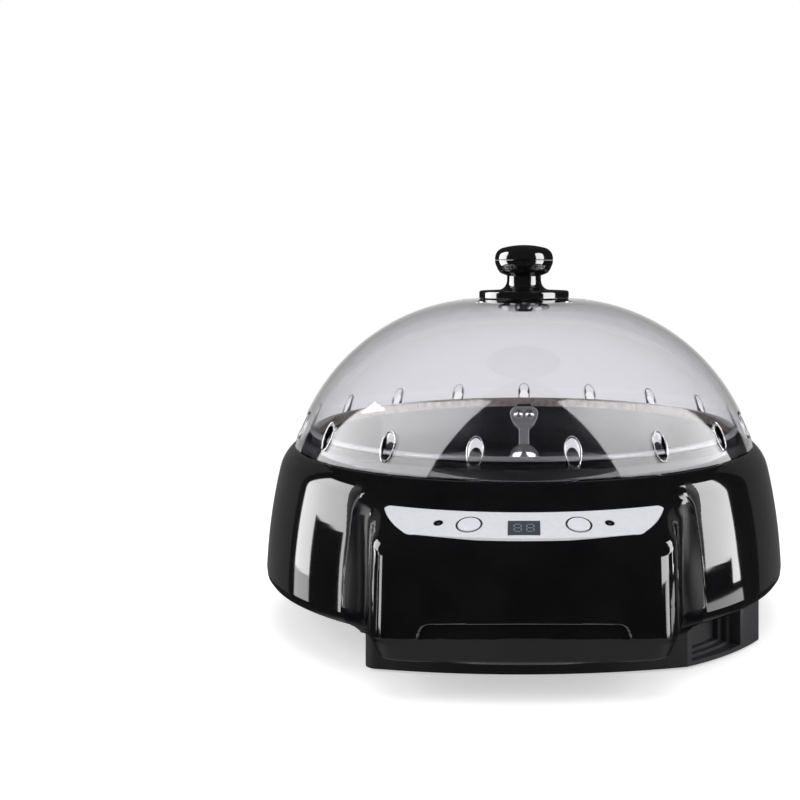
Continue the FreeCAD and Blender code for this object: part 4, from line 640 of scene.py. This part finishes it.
def build_housing():
    """Skirt and block in one skin, tucked in at the foot, with the lip and spigot of the dome's seat."""
    azimuths, turns = skin_azimuths(), skin_turns()
    skin, normals = cast_skin(azimuths, turns)
    tucked = skin[0] * (TUCK, TUCK, 1)
    raised = tucked + (0, 0, TUCK_RISE)
    lip = np.array([[(r * math.sin(a), -r * math.cos(a), z) for a in azimuths] for r, z in LIP_PROFILE])
    points = np.concatenate([raised[None], tucked[None], skin, lip]).reshape(-1, 3)
    columns = len(azimuths)
    first, last = 2 * columns, (2 + len(turns)) * columns
    faces = np.array(grid_faces(2 + len(turns) + len(lip), columns))
    finish = housing_finish(points, faces, last)
    # openings under the panel plate, so that a pressed button sinks into the housing
    middle = points[faces].mean(axis=1)
    closed = np.ones(len(faces), bool)
    for side in (-1, 1):
        centre = (*row_place(side * BUTTON_ANGLE), panel_level(ROW_RADIUS))
        closed &= np.linalg.norm(middle - centre, axis=1) > OPENING
    faces, finish = faces[closed], finish[closed]
    used = np.unique(faces)
    new_index = np.zeros(len(points), int)
    new_index[used] = np.arange(len(used))
    shell = mesh_object(
        "housing_shell",
        points[used],
        new_index[faces],
        [GLOSS, MATTE, TAB_EDGE_HIGHLIGHT, FLARE],
        "housing",
        ["upper_housing"],
        sharp=35,
        weighted=False,
        face_mats=finish,
    )
    vertex_normals = np.array([v.vector for v in shell.data.vertex_normals])
    outer = (used >= first) & (used < last - columns)
    vertex_normals[outer] = normals.reshape(-1, 3)[used[outer] - first]
    shell.data.normals_split_custom_set_from_vertices(vertex_normals.tolist())


build_housing()

# ---------------- dome and knob

OVAL_STEPS, CROWN_STEPS, BEAD_SIDES = 28, 20, 8
VENT_REACH, CROWN_REACH = (SEAT + 4.7, SEAT + 24), (DOME_TOP - 12, DOME_TOP + 4)
NEAR_ARC, SAME_WAY = 0.05, 0.97


def dome_radius(height, arc=DOME_ARC):
    return DOME_OFFSET + math.sqrt(arc * arc - (height - DOME_CENTRE) ** 2)


def oval(angle, radius, half_width, half_depth, steps):
    """An oval in plan, at an angle from the back. Its width runs round the axis and its depth outward."""
    points = []
    for step in range(steps):
        t = 2 * math.pi * step / steps
        across = half_width * math.cos(t)
        outward = radius + half_depth * math.sin(t)
        x = outward * math.sin(angle) + across * math.cos(angle)
        points.append((x, outward * math.cos(angle) - across * math.sin(angle)))
    return points


def vent_outline(number, grow=0.0):
    """Plan of one side vent, or of a line round it."""
    angle = 2 * math.pi * number / VENTS
    return oval(angle, VENT_RADIUS, VENT_WIDTH / 2 + grow, VENT_DEPTH / 2 + grow, OVAL_STEPS)


def build_vent_lips():
    """A fine clear bead round the outside of each side vent."""
    verts, faces = [], []
    for number in range(VENTS):
        points, normals = [], []
        for x, y in vent_outline(number, LIP):
            radius = math.hypot(x, y)
            rise = math.sqrt(DOME_ARC**2 - (radius - DOME_OFFSET) ** 2)
            lean = (radius - DOME_OFFSET) / radius
            normal = Vector((x * lean, y * lean, rise)).normalized()
            points.append(Vector((x, y, DOME_CENTRE + rise)) + normal * LIP * 0.6)
            normals.append(normal)
        first, count = len(verts), len(points)
        for i, (point, normal) in enumerate(zip(points, normals)):
            tangent = (points[(i + 1) % count] - points[i - 1]).normalized()
            side = normal.cross(tangent)
            for k in range(BEAD_SIDES):
                turn = 2 * math.pi * k / BEAD_SIDES
                verts.append(tuple(point + (normal * math.sin(turn) + side * math.cos(turn)) * LIP))
        for i in range(count):
            here, there = first + i * BEAD_SIDES, first + (i + 1) % count * BEAD_SIDES
            for k in range(BEAD_SIDES):
                n = (k + 1) % BEAD_SIDES
                faces.append((here + k, there + k, there + n, here + n))
    mesh_object("dome_vent_lips", verts, faces, [CLEAR], "lid", sharp=60, weighted=False)


def build_dome():
    """The large arc on both sides, a flat crown with the knob's screw hole, and a plain edge on the seat."""
    outside_break, inside_break = 0.4, 0.3
    edge, inner_edge = dome_radius(SEAT + outside_break), dome_radius(SEAT, INNER_ARC)
    profile = along(
        (CROWN_HOLE, DOME_TOP - DOME_WALL),
        (DOME_OFFSET, DOME_TOP - DOME_WALL),
        (inner_edge, SEAT + inside_break, -INNER_ARC),
        (inner_edge + inside_break, SEAT),
        (edge - outside_break, SEAT),
        (edge, SEAT + outside_break),
        (DOME_OFFSET, DOME_TOP, DOME_ARC),
        (CROWN_HOLE, DOME_TOP),
    )
    dome = lathe("dome_shell", profile[::-1], [CLEAR], "lid", ["dome_lid"], 408, sharp=40)
    dome.modifiers.remove(dome.modifiers["weighted"])
    cut_vents(dome)
    finish_mesh(dome, 32, weighted=False)
    set_dome_normals(dome)


def cut_vents(dome):
    cutters = bmesh.new()
    for number in range(VENTS):
        add_prism(cutters, vent_outline(number), *VENT_REACH)
    for number in range(CROWN_VENTS):
        angle = 2 * math.pi * number / CROWN_VENTS
        crown_vent = oval(angle, CROWN_RADIUS, CROWN_WIDTH / 2, CROWN_DEPTH / 2, CROWN_STEPS)
        add_prism(cutters, crown_vent, *CROWN_REACH)
    mesh = bpy.data.meshes.new("dome_vent_cutters")
    cutters.to_mesh(mesh)
    tool = bpy.data.objects.new("dome_vent_cutters", mesh)
    bpy.context.scene.collection.objects.link(tool)
    cut = dome.modifiers.new("vents", "BOOLEAN")
    cut.object = tool
    cut.operation = "DIFFERENCE"
    cut.solver = "EXACT"
    graph = bpy.context.evaluated_depsgraph_get()
    result = bpy.data.meshes.new_from_object(dome.evaluated_get(graph))
    dome.modifiers.clear()
    dome.data = result
    bpy.data.objects.remove(tool)


def set_dome_normals(dome):
    """Gives every corner on the two large arcs its true normal, so that cuts leave no dents in the gloss."""
    mesh = dome.data
    normals = np.array([c.vector for c in mesh.corner_normals])
    for polygon in mesh.polygons:
        for loop in polygon.loop_indices:
            p = mesh.vertices[mesh.loops[loop].vertex_index].co
            x, y, z = p.x / MM, (p.y - AXIS_Y) / MM, p.z / MM
            radius = math.hypot(x, y)
            if radius < DOME_OFFSET or z < SEAT + 0.35:
                continue
            dr, dz = radius - DOME_OFFSET, z - DOME_CENTRE
            reach = math.hypot(dr, dz)
            true = np.array([x / radius * dr, y / radius * dr, dz]) / reach
            if abs(reach - INNER_ARC) < NEAR_ARC:
                true = -true
            elif abs(reach - DOME_ARC) > NEAR_ARC:
                continue
            if polygon.normal.dot(Vector(true)) > SAME_WAY:
                normals[loop] = true
    mesh.normals_split_custom_set(normals.tolist())


def add_prism(bm, ring, low, high):
    """A closed upright prism over a ring of points, in millimetres from the axis."""
    lower = [bm.verts.new((x * MM, y * MM + AXIS_Y, low * MM)) for x, y in ring]
    upper = [bm.verts.new((x * MM, y * MM + AXIS_Y, high * MM)) for x, y in ring]
    made = [bm.faces.new(lower[::-1]), bm.faces.new(upper)]
    for i in range(len(ring)):
        j = (i + 1) % len(ring)
        made.append(bm.faces.new((lower[i], lower[j], upper[j], upper[i])))
    bmesh.ops.recalc_face_normals(bm, faces=made)


build_dome()
build_vent_lips()


def build_knob():
    """The flanged stem up to the parting line, with a socket, and the mushroom top with its peg."""
    stem = along(
        (KNOB_BORE, DOME_TOP),
        (FLANGE - 0.6, DOME_TOP),
        (FLANGE, DOME_TOP + 0.6, 0.6),
        (FLANGE, DOME_TOP + 3),
        (FLANGE - 1.2, DOME_TOP + 4.2, 1.2),
        (STEM + 4.8, DOME_TOP + 4.6),
        (STEM + 0.2, DOME_TOP + 8.6, -4.8),
        (STEM, DOME_TOP + 10, -12),
        (STEM, PARTING - 8.2),
        (CAP - 3.3, PARTING - 7),
        (CAP - 1.1, PARTING - 3.8, 7),
        (CAP, PARTING, 8.5),
        (SOCKET, PARTING),
        (SOCKET, PARTING - 6),
        (KNOB_BORE, PARTING - 6),
    )
    crown = along(
        (0, PARTING - 4),
        (PEG, PARTING - 4),
        (PEG, PARTING + PARTING_GAP),
        (CAP - 0.3, PARTING + PARTING_GAP),
        (CAP, PARTING + 0.8, 0.7),
        (CAP - 0.5, PARTING + 3.4, 9),
        (CAP - 4.2, KNOB_TOP - 1.5, 6),
        (0.6, KNOB_TOP, 42),
        (0, KNOB_TOP),
    )
    lathe("knob_body", soften(stem, 0.5, closed=True), [KNOB], "lid", ["knob_base"], 128)
    lathe("knob_crown", soften(crown, 0.3), [KNOB], "lid", ["knob_cap"], 128)


build_knob()

# ---------------- roasting pan


def pan_finish(radius, height):
    """3 for the top of the bead, lighter bare metal that is partly wear and partly a painted highlight, 1 for
    the bare edge inside, 0 for the coating and 2 for the outside.
    """
    bead_band_outside, bead_band_inside, worn_edge = 1.9, 0.5, 0.9
    if height > RIM_TOP - (bead_band_outside if radius > RIM_RADIUS + 0.4 else bead_band_inside):
        return 3
    if height > RIM_TOP - BARE_DEPTH and radius < RIM_RADIUS + 0.2 or height > RIM_TOP - worn_edge:
        return 1
    return 2 if radius > RIM_RADIUS - 0.3 or height < PAN_FLOOR - 0.5 else 0


def build_pan():
    """One sheet: the outside from the hub to the rolled rim, then the inside back to the hub."""
    under = PAN_FLOOR - PAN_SHEET
    sheet = along(
        (PAN_BORE, HUB_TOP - PAN_SHEET),
        (HUB_RADIUS - 0.4, HUB_TOP - PAN_SHEET),
        (HUB_FOOT - 0.8, under),
        (PAN_FLAT, under),
        (WALL_RADIUS + PAN_SHEET, PAN_FLOOR + WALL_RISE - 0.2, PAN_BEND + PAN_SHEET),
        (RIM_INSIDE + PAN_SHEET, RIM_MID - 1.2),
        (RIM_RADIUS, RIM_MID - BEAD, -1.2),
        (RIM_RADIUS, RIM_MID + BEAD, BEAD * 1.001),
        (RIM_INSIDE, RIM_MID + 0.6, 1.9),
        (RIM_INSIDE - 0.8, RIM_TOP - BARE_DEPTH),
        (WALL_RADIUS, PAN_FLOOR + WALL_RISE),
        (PAN_FLAT, PAN_FLOOR, -PAN_BEND),
        (HUB_FOOT, PAN_FLOOR),
        (HUB_RADIUS, HUB_TOP),
        (PAN_BORE, HUB_TOP),
    )
    mats = [NONSTICK, RIM, MATTE, BEAD_WEAR_AND_HIGHLIGHT]
    profile = soften(sheet, 0.8, closed=True)
    lathe("pan_shell", profile, mats, "housing", ["roasting_pan"], 360, pick=pan_finish)


def build_pan_ring():
    """The band under the rim, with a flange on the seat."""
    inside, outside, flange = RIM_RADIUS + 0.2, RIM_RADIUS + 1, RIM_RADIUS + 2.6
    band = along(
        (inside, SEAT - 3),
        (outside, SEAT - 3),
        (outside, SEAT),
        (flange, SEAT),
        (flange, SEAT + 0.8),
        (outside, SEAT + 0.8),
        (outside, RIM_MID - BEAD),
        (inside, RIM_MID - BEAD),
    )
    profile = soften(band, 0.15, closed=True)
    lathe("pan_ring", profile, [MATTE], "housing", ["pan_support_ring"], 256)


build_pan()
build_pan_ring()

# ---------------- carried-over CAD nodes

FINISHES = {
    "base_pan": MATTE,
    "rubber_feet": RUBBER,
    "cord_gland": RUBBER,
    "knob_screw": PRESSED,
    "knob_washer": PRESSED,
    "shaft_bush": BRASS,
    "bush_nut": BRASS,
    "drive_shaft": STEEL,
    "stirrer_arms": PRESSED,
    "stirrer_blade_outer": BLADE,
    "stirrer_blade_inner": BLADE,
    "blade_rivets": RIVET,
    "arm_washer": STEEL,
    "cap_nut": RIVET,
    "control_panel_plate": SILVER,
    "power_button": WHITE,
    "timer_button": WHITE,
    "display_window": DISPLAY,
    "display_module": DARK_GREY,
    "indicator_leds": LENS,
    "control_board": BOARD,
    "tact_switches": DARK_GREY,
    "power_board": BOARD,
    "power_relay": DARK_GREY,
    "power_transformer": IRON,
    "heat_shield": ALUMINIUM,
    "heater_ring": HEATER,
    "heater_terminals": CERAMIC,
    "heater_saddles": CERAMIC,
    "thermostat": CERAMIC,
    "gear_motor": ZINC,
}
for name, obj in frame["nodes"].items():
    finish = FINISHES.get(name, STEEL)
    obj.data.materials.clear()
    obj.data.materials.append(finish)


def paint_button_shade_and_lamp_dots():
    """Painted shade: a dark disc round each button, whose middle the button covers, stands for the shade in
    the gap round it; and a dark round at each lamp.
    """
    dots = []
    for angle, radius in ((BUTTON_ANGLE, BUTTON_GAP_SHADE), (LED_ANGLE, LAMP_DOT)):
        for side in (-1, 1):
            x, y = row_place(side * angle)
            dots.append(((x * MM, y * MM + AXIS_Y, panel_level(ROW_RADIUS) * MM), radius * MM))
    paint_dark_discs(SILVER, frame["nodes"]["control_panel_plate"], dots, (0.02, 0.02, 0.024))


def build_digits():
    """Two unlit seven-segment digits on the display."""
    window = frame["nodes"]["display_window"]
    up = Vector((0, -math.sin(TILT), math.cos(TILT)))
    top = max((window.matrix_world @ v.co).dot(up) for v in window.data.vertices) / MM
    centre = Vector((0, -WINDOW_RADIUS + AXIS_Y / MM, panel_level(WINDOW_RADIUS)))
    centre += up * (top - centre.dot(up))
    across, along_slope = Vector((1, 0, 0)), Vector((0, math.cos(TILT), math.sin(TILT)))
    lying = (DIGIT_WIDE - STROKE_GAP, STROKE)
    standing = (STROKE, DIGIT_TALL / 2 - STROKE_GAP)
    bars = [(0, v, *lying) for v in (-DIGIT_TALL, 0, DIGIT_TALL)]
    for u in (-DIGIT_WIDE, DIGIT_WIDE):
        bars += [(u, v, *standing) for v in (-DIGIT_TALL / 2, DIGIT_TALL / 2)]
    verts, faces = [], []
    for digit in (-DIGIT_PLACE, DIGIT_PLACE):
        for u, v, du, dv in bars:
            f = len(verts)
            for lift in (0, DIGIT_RISE):
                for su, sv in ((-1, -1), (1, -1), (1, 1), (-1, 1)):
                    p = centre + across * (digit + u + su * du) + along_slope * (v + sv * dv) + up * lift
                    verts.append((p.x, p.y - AXIS_Y / MM, p.z))
            faces.append((f + 4, f + 5, f + 6, f + 7))
            faces += [(f + i, f + (i + 1) % 4, f + 4 + (i + 1) % 4, f + 4 + i) for i in range(4)]
    mesh_object("display_digits", verts, faces, [SEGMENT], "housing", weighted=False)


paint_button_shade_and_lamp_dots()
build_digits()

# ---------------- floor and surroundings

FLOOR_SIZE, FLOOR_COLOR, FLOOR_MIRRORED, FLOOR_GLOW = 6.0, 0.8, 0.1, 0.5
SWEEP_START, SWEEP_END = 0.2, 0.4
SURROUND, MIRRORED, TABLE = 0.55, 0.03, 0.27
TABLE_END, ROOM_START = -0.72, -0.58


def connect(tree, socket, value):
    """Links a socket to an output, or gives it a number."""
    if isinstance(value, float):
        socket.default_value = value
    else:
        tree.links.new(value, socket)


def math_node(tree, kind, first, second):
    made = add_node(tree, "ShaderNodeMath", operation=kind)
    for socket, value in zip(made.inputs, (first, second)):
        connect(tree, socket, value)
    return made.outputs[0]


def choose(tree, switch, off, on):
    """A number that a switch changes over."""
    made = add_node(tree, "ShaderNodeMix")
    for name, value in (("Factor", switch), ("A", off), ("B", on)):
        connect(tree, made.inputs[name], value)
    return made.outputs["Result"]


def light_paths(tree):
    """Two switches: rays that show the background itself, and rays that mirror the surroundings."""
    path = add_node(tree, "ShaderNodeLightPath").outputs
    straight = math_node(tree, "MAXIMUM", path["Is Camera Ray"], path["Is Transmission Ray"])
    bounces = math_node(tree, "ADD", path["Glossy Depth"], path["Diffuse Depth"])
    direct = math_node(tree, "MULTIPLY", straight, math_node(tree, "LESS_THAN", bounces, 0.5))
    glossy = math_node(tree, "MAXIMUM", path["Is Glossy Ray"], path["Glossy Depth"])
    return direct, math_node(tree, "GREATER_THAN", glossy, 0.5)


def bare_material(name):
    """A material without its usual shader, and that material's nodes."""
    mat = bpy.data.materials.new(name)
    mat.use_nodes = True
    tree = mat.node_tree
    tree.nodes.remove(tree.nodes["Principled BSDF"])
    return mat, tree


def join_shaders(tree, kind, first, second, factor=None):
    """Adds two shaders, or mixes them by a factor."""
    made = add_node(tree, kind)
    sockets = list(made.inputs)
    if factor is not None:
        tree.links.new(factor, sockets.pop(0))
    for socket, shade in zip(sockets, (first, second)):
        tree.links.new(shade, socket)
    return made.outputs[0]


def floor_material():
    """Pale floor that is white to the camera and keeps the shadow under the object."""
    mat, tree = bare_material("floor")
    direct, mirrored = light_paths(tree)
    matt = add_node(tree, "ShaderNodeBsdfDiffuse")
    tree.links.new(choose(tree, mirrored, FLOOR_COLOR, FLOOR_MIRRORED), matt.inputs["Color"])
    lift = add_node(tree, "ShaderNodeEmission", {"Strength": FLOOR_GLOW})
    near = join_shaders(tree, "ShaderNodeAddShader", matt.outputs[0], lift.outputs[0])
    white = add_node(tree, "ShaderNodeEmission")
    place = add_node(tree, "ShaderNodeTexCoord")
    distance = add_node(tree, "ShaderNodeVectorMath", operation="LENGTH")
    tree.links.new(place.outputs["Object"], distance.inputs[0])
    spread = map_range(tree, distance.outputs["Value"], SWEEP_START, SWEEP_END, 0, 1)
    sweep = join_shaders(tree, "ShaderNodeMixShader", near, white.outputs[0], spread)
    seen = join_shaders(tree, "ShaderNodeMixShader", matt.outputs[0], sweep, direct)
    tree.links.new(seen, tree.nodes["Material Output"].inputs["Surface"])
    return mat


def stage_object(name, verts, faces, mat):
    """A piece of the stage. Verts are in metres."""
    mesh = bpy.data.meshes.new(name)
    mesh.from_pydata(verts, [], faces)
    mesh.materials.append(mat)
    obj = bpy.data.objects.new(name, mesh)
    bpy.context.scene.collection.objects.link(obj)
    return obj


def build_floor():
    square = [(x * FLOOR_SIZE, y * FLOOR_SIZE, 0) for x, y in ((-1, -1), (1, -1), (1, 1), (-1, 1))]
    stage_object("floor", square, [(0, 1, 2, 3)], floor_material()).visible_glossy = False


def build_world():
    """White to the camera. Mirrors look into a dark room over a pale table."""
    world = bpy.data.worlds.new("studio")
    bpy.context.scene.world = world
    world.use_nodes = True
    tree = world.node_tree
    background = tree.nodes["Background"].inputs
    background["Color"].default_value = (1, 1, 1, 1)
    direct, mirrored = light_paths(tree)
    facing = add_node(tree, "ShaderNodeTexCoord")
    split = add_node(tree, "ShaderNodeSeparateXYZ")
    tree.links.new(facing.outputs["Generated"], split.inputs[0])
    table = map_range(tree, split.outputs["Z"], TABLE_END, ROOM_START, TABLE, MIRRORED)
    surround = choose(tree, mirrored, SURROUND, table)
    tree.links.new(choose(tree, direct, surround, 1.0), background["Strength"])


build_floor()
build_world()

# ---------------- soft boxes in the gloss

# A soft box hangs on a drum round the roaster. Each of its two side edges is a list of (azimuth, height):
# degrees from the front, positive to the right, and millimetres over the table.
DRUM, DOME_DRUM, GLINT_DRUM = 420.0, 600.0, 590.0
CARD_COLUMNS, CARD_STEPS = 25, 6


def glow_material(name, strength):
    """Evenly lit cloth of a soft box, with a faint weave. Light passes it from behind."""
    mat, tree = bare_material(name)
    glow = add_node(tree, "ShaderNodeEmission")
    cloth = map_range(tree, noise(tree, 9.0), 0, 1, strength * 0.9, strength * 1.1)
    tree.links.new(cloth, glow.inputs["Strength"])
    sheer = add_node(tree, "ShaderNodeBsdfTransparent")
    both = join_shaders(tree, "ShaderNodeAddShader", glow.outputs[0], sheer.outputs[0])
    tree.links.new(both, tree.nodes["Material Output"].inputs["Surface"])
    return mat


def soft_card(name, first, second, mat, receivers, radius=DRUM):
    """A soft box that shows in gloss only, and only on its receivers."""
    rows = []
    for (a1, h1), (a2, h2), (b1, g1), (b2, g2) in zip(first, first[1:], second, second[1:]):
        for t in np.linspace(0, 1, CARD_STEPS):
            rows.append((a1 + (a2 - a1) * t, h1 + (h2 - h1) * t, b1 + (b2 - b1) * t, g1 + (g2 - g1) * t))
    verts = []
    for start, low, stop, high in rows:
        for u in np.linspace(0, 1, CARD_COLUMNS):
            angle = math.radians(start + (stop - start) * u)
            verts.append((radius * math.sin(angle), -radius * math.cos(angle), low + (high - low) * u))
    points = np.array(verts) * MM
    points[:, 1] += AXIS_Y
    card = stage_object(name, points.tolist(), grid_faces(len(rows), CARD_COLUMNS, wrap=False), mat)
    card.visible_camera = False
    card.visible_diffuse = False
    card.visible_shadow = False
    card.light_linking.receiver_collection = receivers
    return card


def light_group(name, pieces, state="INCLUDE"):
    """A collection for light linking: only these pieces, or all but them."""
    made = bpy.data.collections.new(name)
    for piece in pieces:
        made.objects.link(bpy.data.objects[piece])
    for linked in made.collection_objects:
        linked.light_linking.link_state = state
    return made


def upright(low, high, *azimuths):
    """The two edges of a box with level ends."""
    return [[(azimuth, low), (azimuth, high)] for azimuth in azimuths]


def mirror(edge):
    return [(-azimuth, height) for azimuth, height in edge]


KNOB_PIECES = ("knob_body", "knob_crown")
DOME_ONLY = light_group("dome_only", ["dome_shell"])
KNOB_ONLY = light_group("knob_only", KNOB_PIECES)
ALL_BUT_LID = light_group("all_but_lid", [*KNOB_PIECES, "dome_shell"], "EXCLUDE")

GLOW_LEFT = glow_material("glow_left", 5.8)
GLOW_RIGHT = glow_material("glow_right", 7.0)
GLOW_SIDE = glow_material("glow_side", 0.1)
GLOW_EDGE = glow_material("glow_edge", 0.28)
GLOW_LOW = glow_material("glow_low", 2.6)
GLOW_DOME = glow_material("glow_dome", 5.0)
GLOW_BEHIND = glow_material("glow_behind", 0.75)
GLOW_KNOB = glow_material("glow_knob", 9.0)
GLOW_GLINT = glow_material("glow_glint", 7.0)

WIDE_LEFT = [(-99, 62), (-99, 140), (-94, 262)], [(-69, 62), (-72, 160), (-73, 276)]
WIDE_RIGHT = [(69, 10), (71, 165), (73, 325)], [(88, 10), (88, 165), (90, 268)]
STRIP_RIGHT = [(84, -25), (84, 10)], [(89, -25), (88, 10)]
FOOT_RIGHT = [(69, -55), (69, -38)], [(91, -55), (90, -38)]
KNOB_LEFT = [(-113, -20), (-116, 420), (-104, 640)], [(-73, -20), (-73, 420), (-88, 640)]
KNOB_RIGHT = [(49, -20), (49, 420), (58, 600)], [(82, -20), (86, 420), (78, 600)]
DOME_INNER = [(43, 220), (39, 405), (26, 1120)]
DOME_OUTER = [(109, 110), (99, 405), (36, 1115)]
GLINT = [(-96, 395), (-95, 487)], [(-96, 395), (-84, 508)]
BACK_LOW, BACK_HIGH = [(131, 20), (129, 150), (119, 190)], [(30, 1500), (12, 2800)]
BACK = [*BACK_LOW, *DOME_OUTER[1:], *BACK_HIGH]

HOUSING_CARDS = (
    ("left_wide", WIDE_LEFT, GLOW_LEFT),
    ("left_corner", upright(-42, 22, -62, -54), GLOW_LEFT),
    ("right_corner", upright(-8, 22, 41, 66), GLOW_RIGHT),
    ("right_corner_low", upright(-48, -8, 53, 64), GLOW_LEFT),
    ("left_strip", upright(-20, 62, -99, -88), GLOW_LEFT),
    ("left_line", upright(-52, 62, -70.5, -69), GLOW_LEFT),
    ("left_foot", upright(-58, -20, -99, -88), GLOW_LOW),
    ("right_wide", WIDE_RIGHT, GLOW_RIGHT),
    ("right_strip", STRIP_RIGHT, GLOW_RIGHT),
    ("right_foot", FOOT_RIGHT, GLOW_LOW),
    ("left_side", upright(-90, 330, -148, -104), GLOW_SIDE),
    ("right_side", upright(-90, 330, 104, 148), GLOW_SIDE),
    ("left_edge", upright(-90, 330, -178, -148), GLOW_EDGE),
    ("right_edge", upright(-90, 330, 148, 178), GLOW_EDGE),
)
for name, edges, mat in HOUSING_CARDS:
    soft_card(name, *edges, mat, ALL_BUT_LID)
soft_card("knob_left", *KNOB_LEFT, GLOW_KNOB, KNOB_ONLY)
soft_card("knob_right", *KNOB_RIGHT, GLOW_KNOB, KNOB_ONLY)
soft_card("dome_right", DOME_INNER, DOME_OUTER, GLOW_DOME, DOME_ONLY, DOME_DRUM)
soft_card("dome_left", mirror(DOME_INNER), mirror(DOME_OUTER), GLOW_DOME, DOME_ONLY, DOME_DRUM)
soft_card("dome_glint", *GLINT, GLOW_GLINT, DOME_ONLY, GLINT_DRUM)
behind = soft_card("behind", BACK, [(360 - a, h) for a, h in BACK], GLOW_BEHIND, DOME_ONLY, DOME_DRUM)
behind.visible_transmission = False

# ---------------- lights for matt surfaces, and the camera


def area_light(name, place, target, width, height, watts):
    light = bpy.data.lights.new(name, "AREA")
    light.shape = "RECTANGLE"
    light.size, light.size_y = width, height
    light.energy = watts
    obj = bpy.data.objects.new(name, light)
    obj.location = place
    obj.rotation_euler = (Vector(target) - Vector(place)).to_track_quat("-Z", "Y").to_euler()
    obj.visible_glossy = False
    obj.visible_camera = False
    obj.visible_transmission = False
    bpy.context.scene.collection.objects.link(obj)


for name, side in (("key_left", -1), ("key_right", 1)):
    area_light(name, (side * 0.85, -0.45, 0.55), (0, 0, 0.08), 0.5, 0.7, 4)
area_light("top", (0, -0.1, 1.3), (0, 0, 0.1), 1.2, 1.2, 8)

CAMERA_HEIGHT, CAMERA_DISTANCE, FOCAL_PIXELS = 0.182, 0.606, 1130.0
PHOTO, AXIS_X, HORIZON = 800.0, 524.0, 261.0


def build_camera():
    """The photo's camera: level, with its frame shifted to where the axis and the horizon are."""
    camera = bpy.data.cameras.new("camera")
    camera.sensor_width = 36.0
    camera.lens = FOCAL_PIXELS / PHOTO * camera.sensor_width
    camera.shift_x = (PHOTO / 2 - AXIS_X) / PHOTO
    camera.shift_y = (HORIZON - PHOTO / 2) / PHOTO
    shooter = bpy.data.objects.new("camera", camera)
    shooter.location = (0, AXIS_Y - CAMERA_DISTANCE, CAMERA_HEIGHT)
    shooter.rotation_euler = (math.radians(90), 0, 0)
    bpy.context.scene.collection.objects.link(shooter)
    bpy.context.scene.camera = shooter


build_camera()
bpy.context.scene.view_settings.view_transform = "Standard"
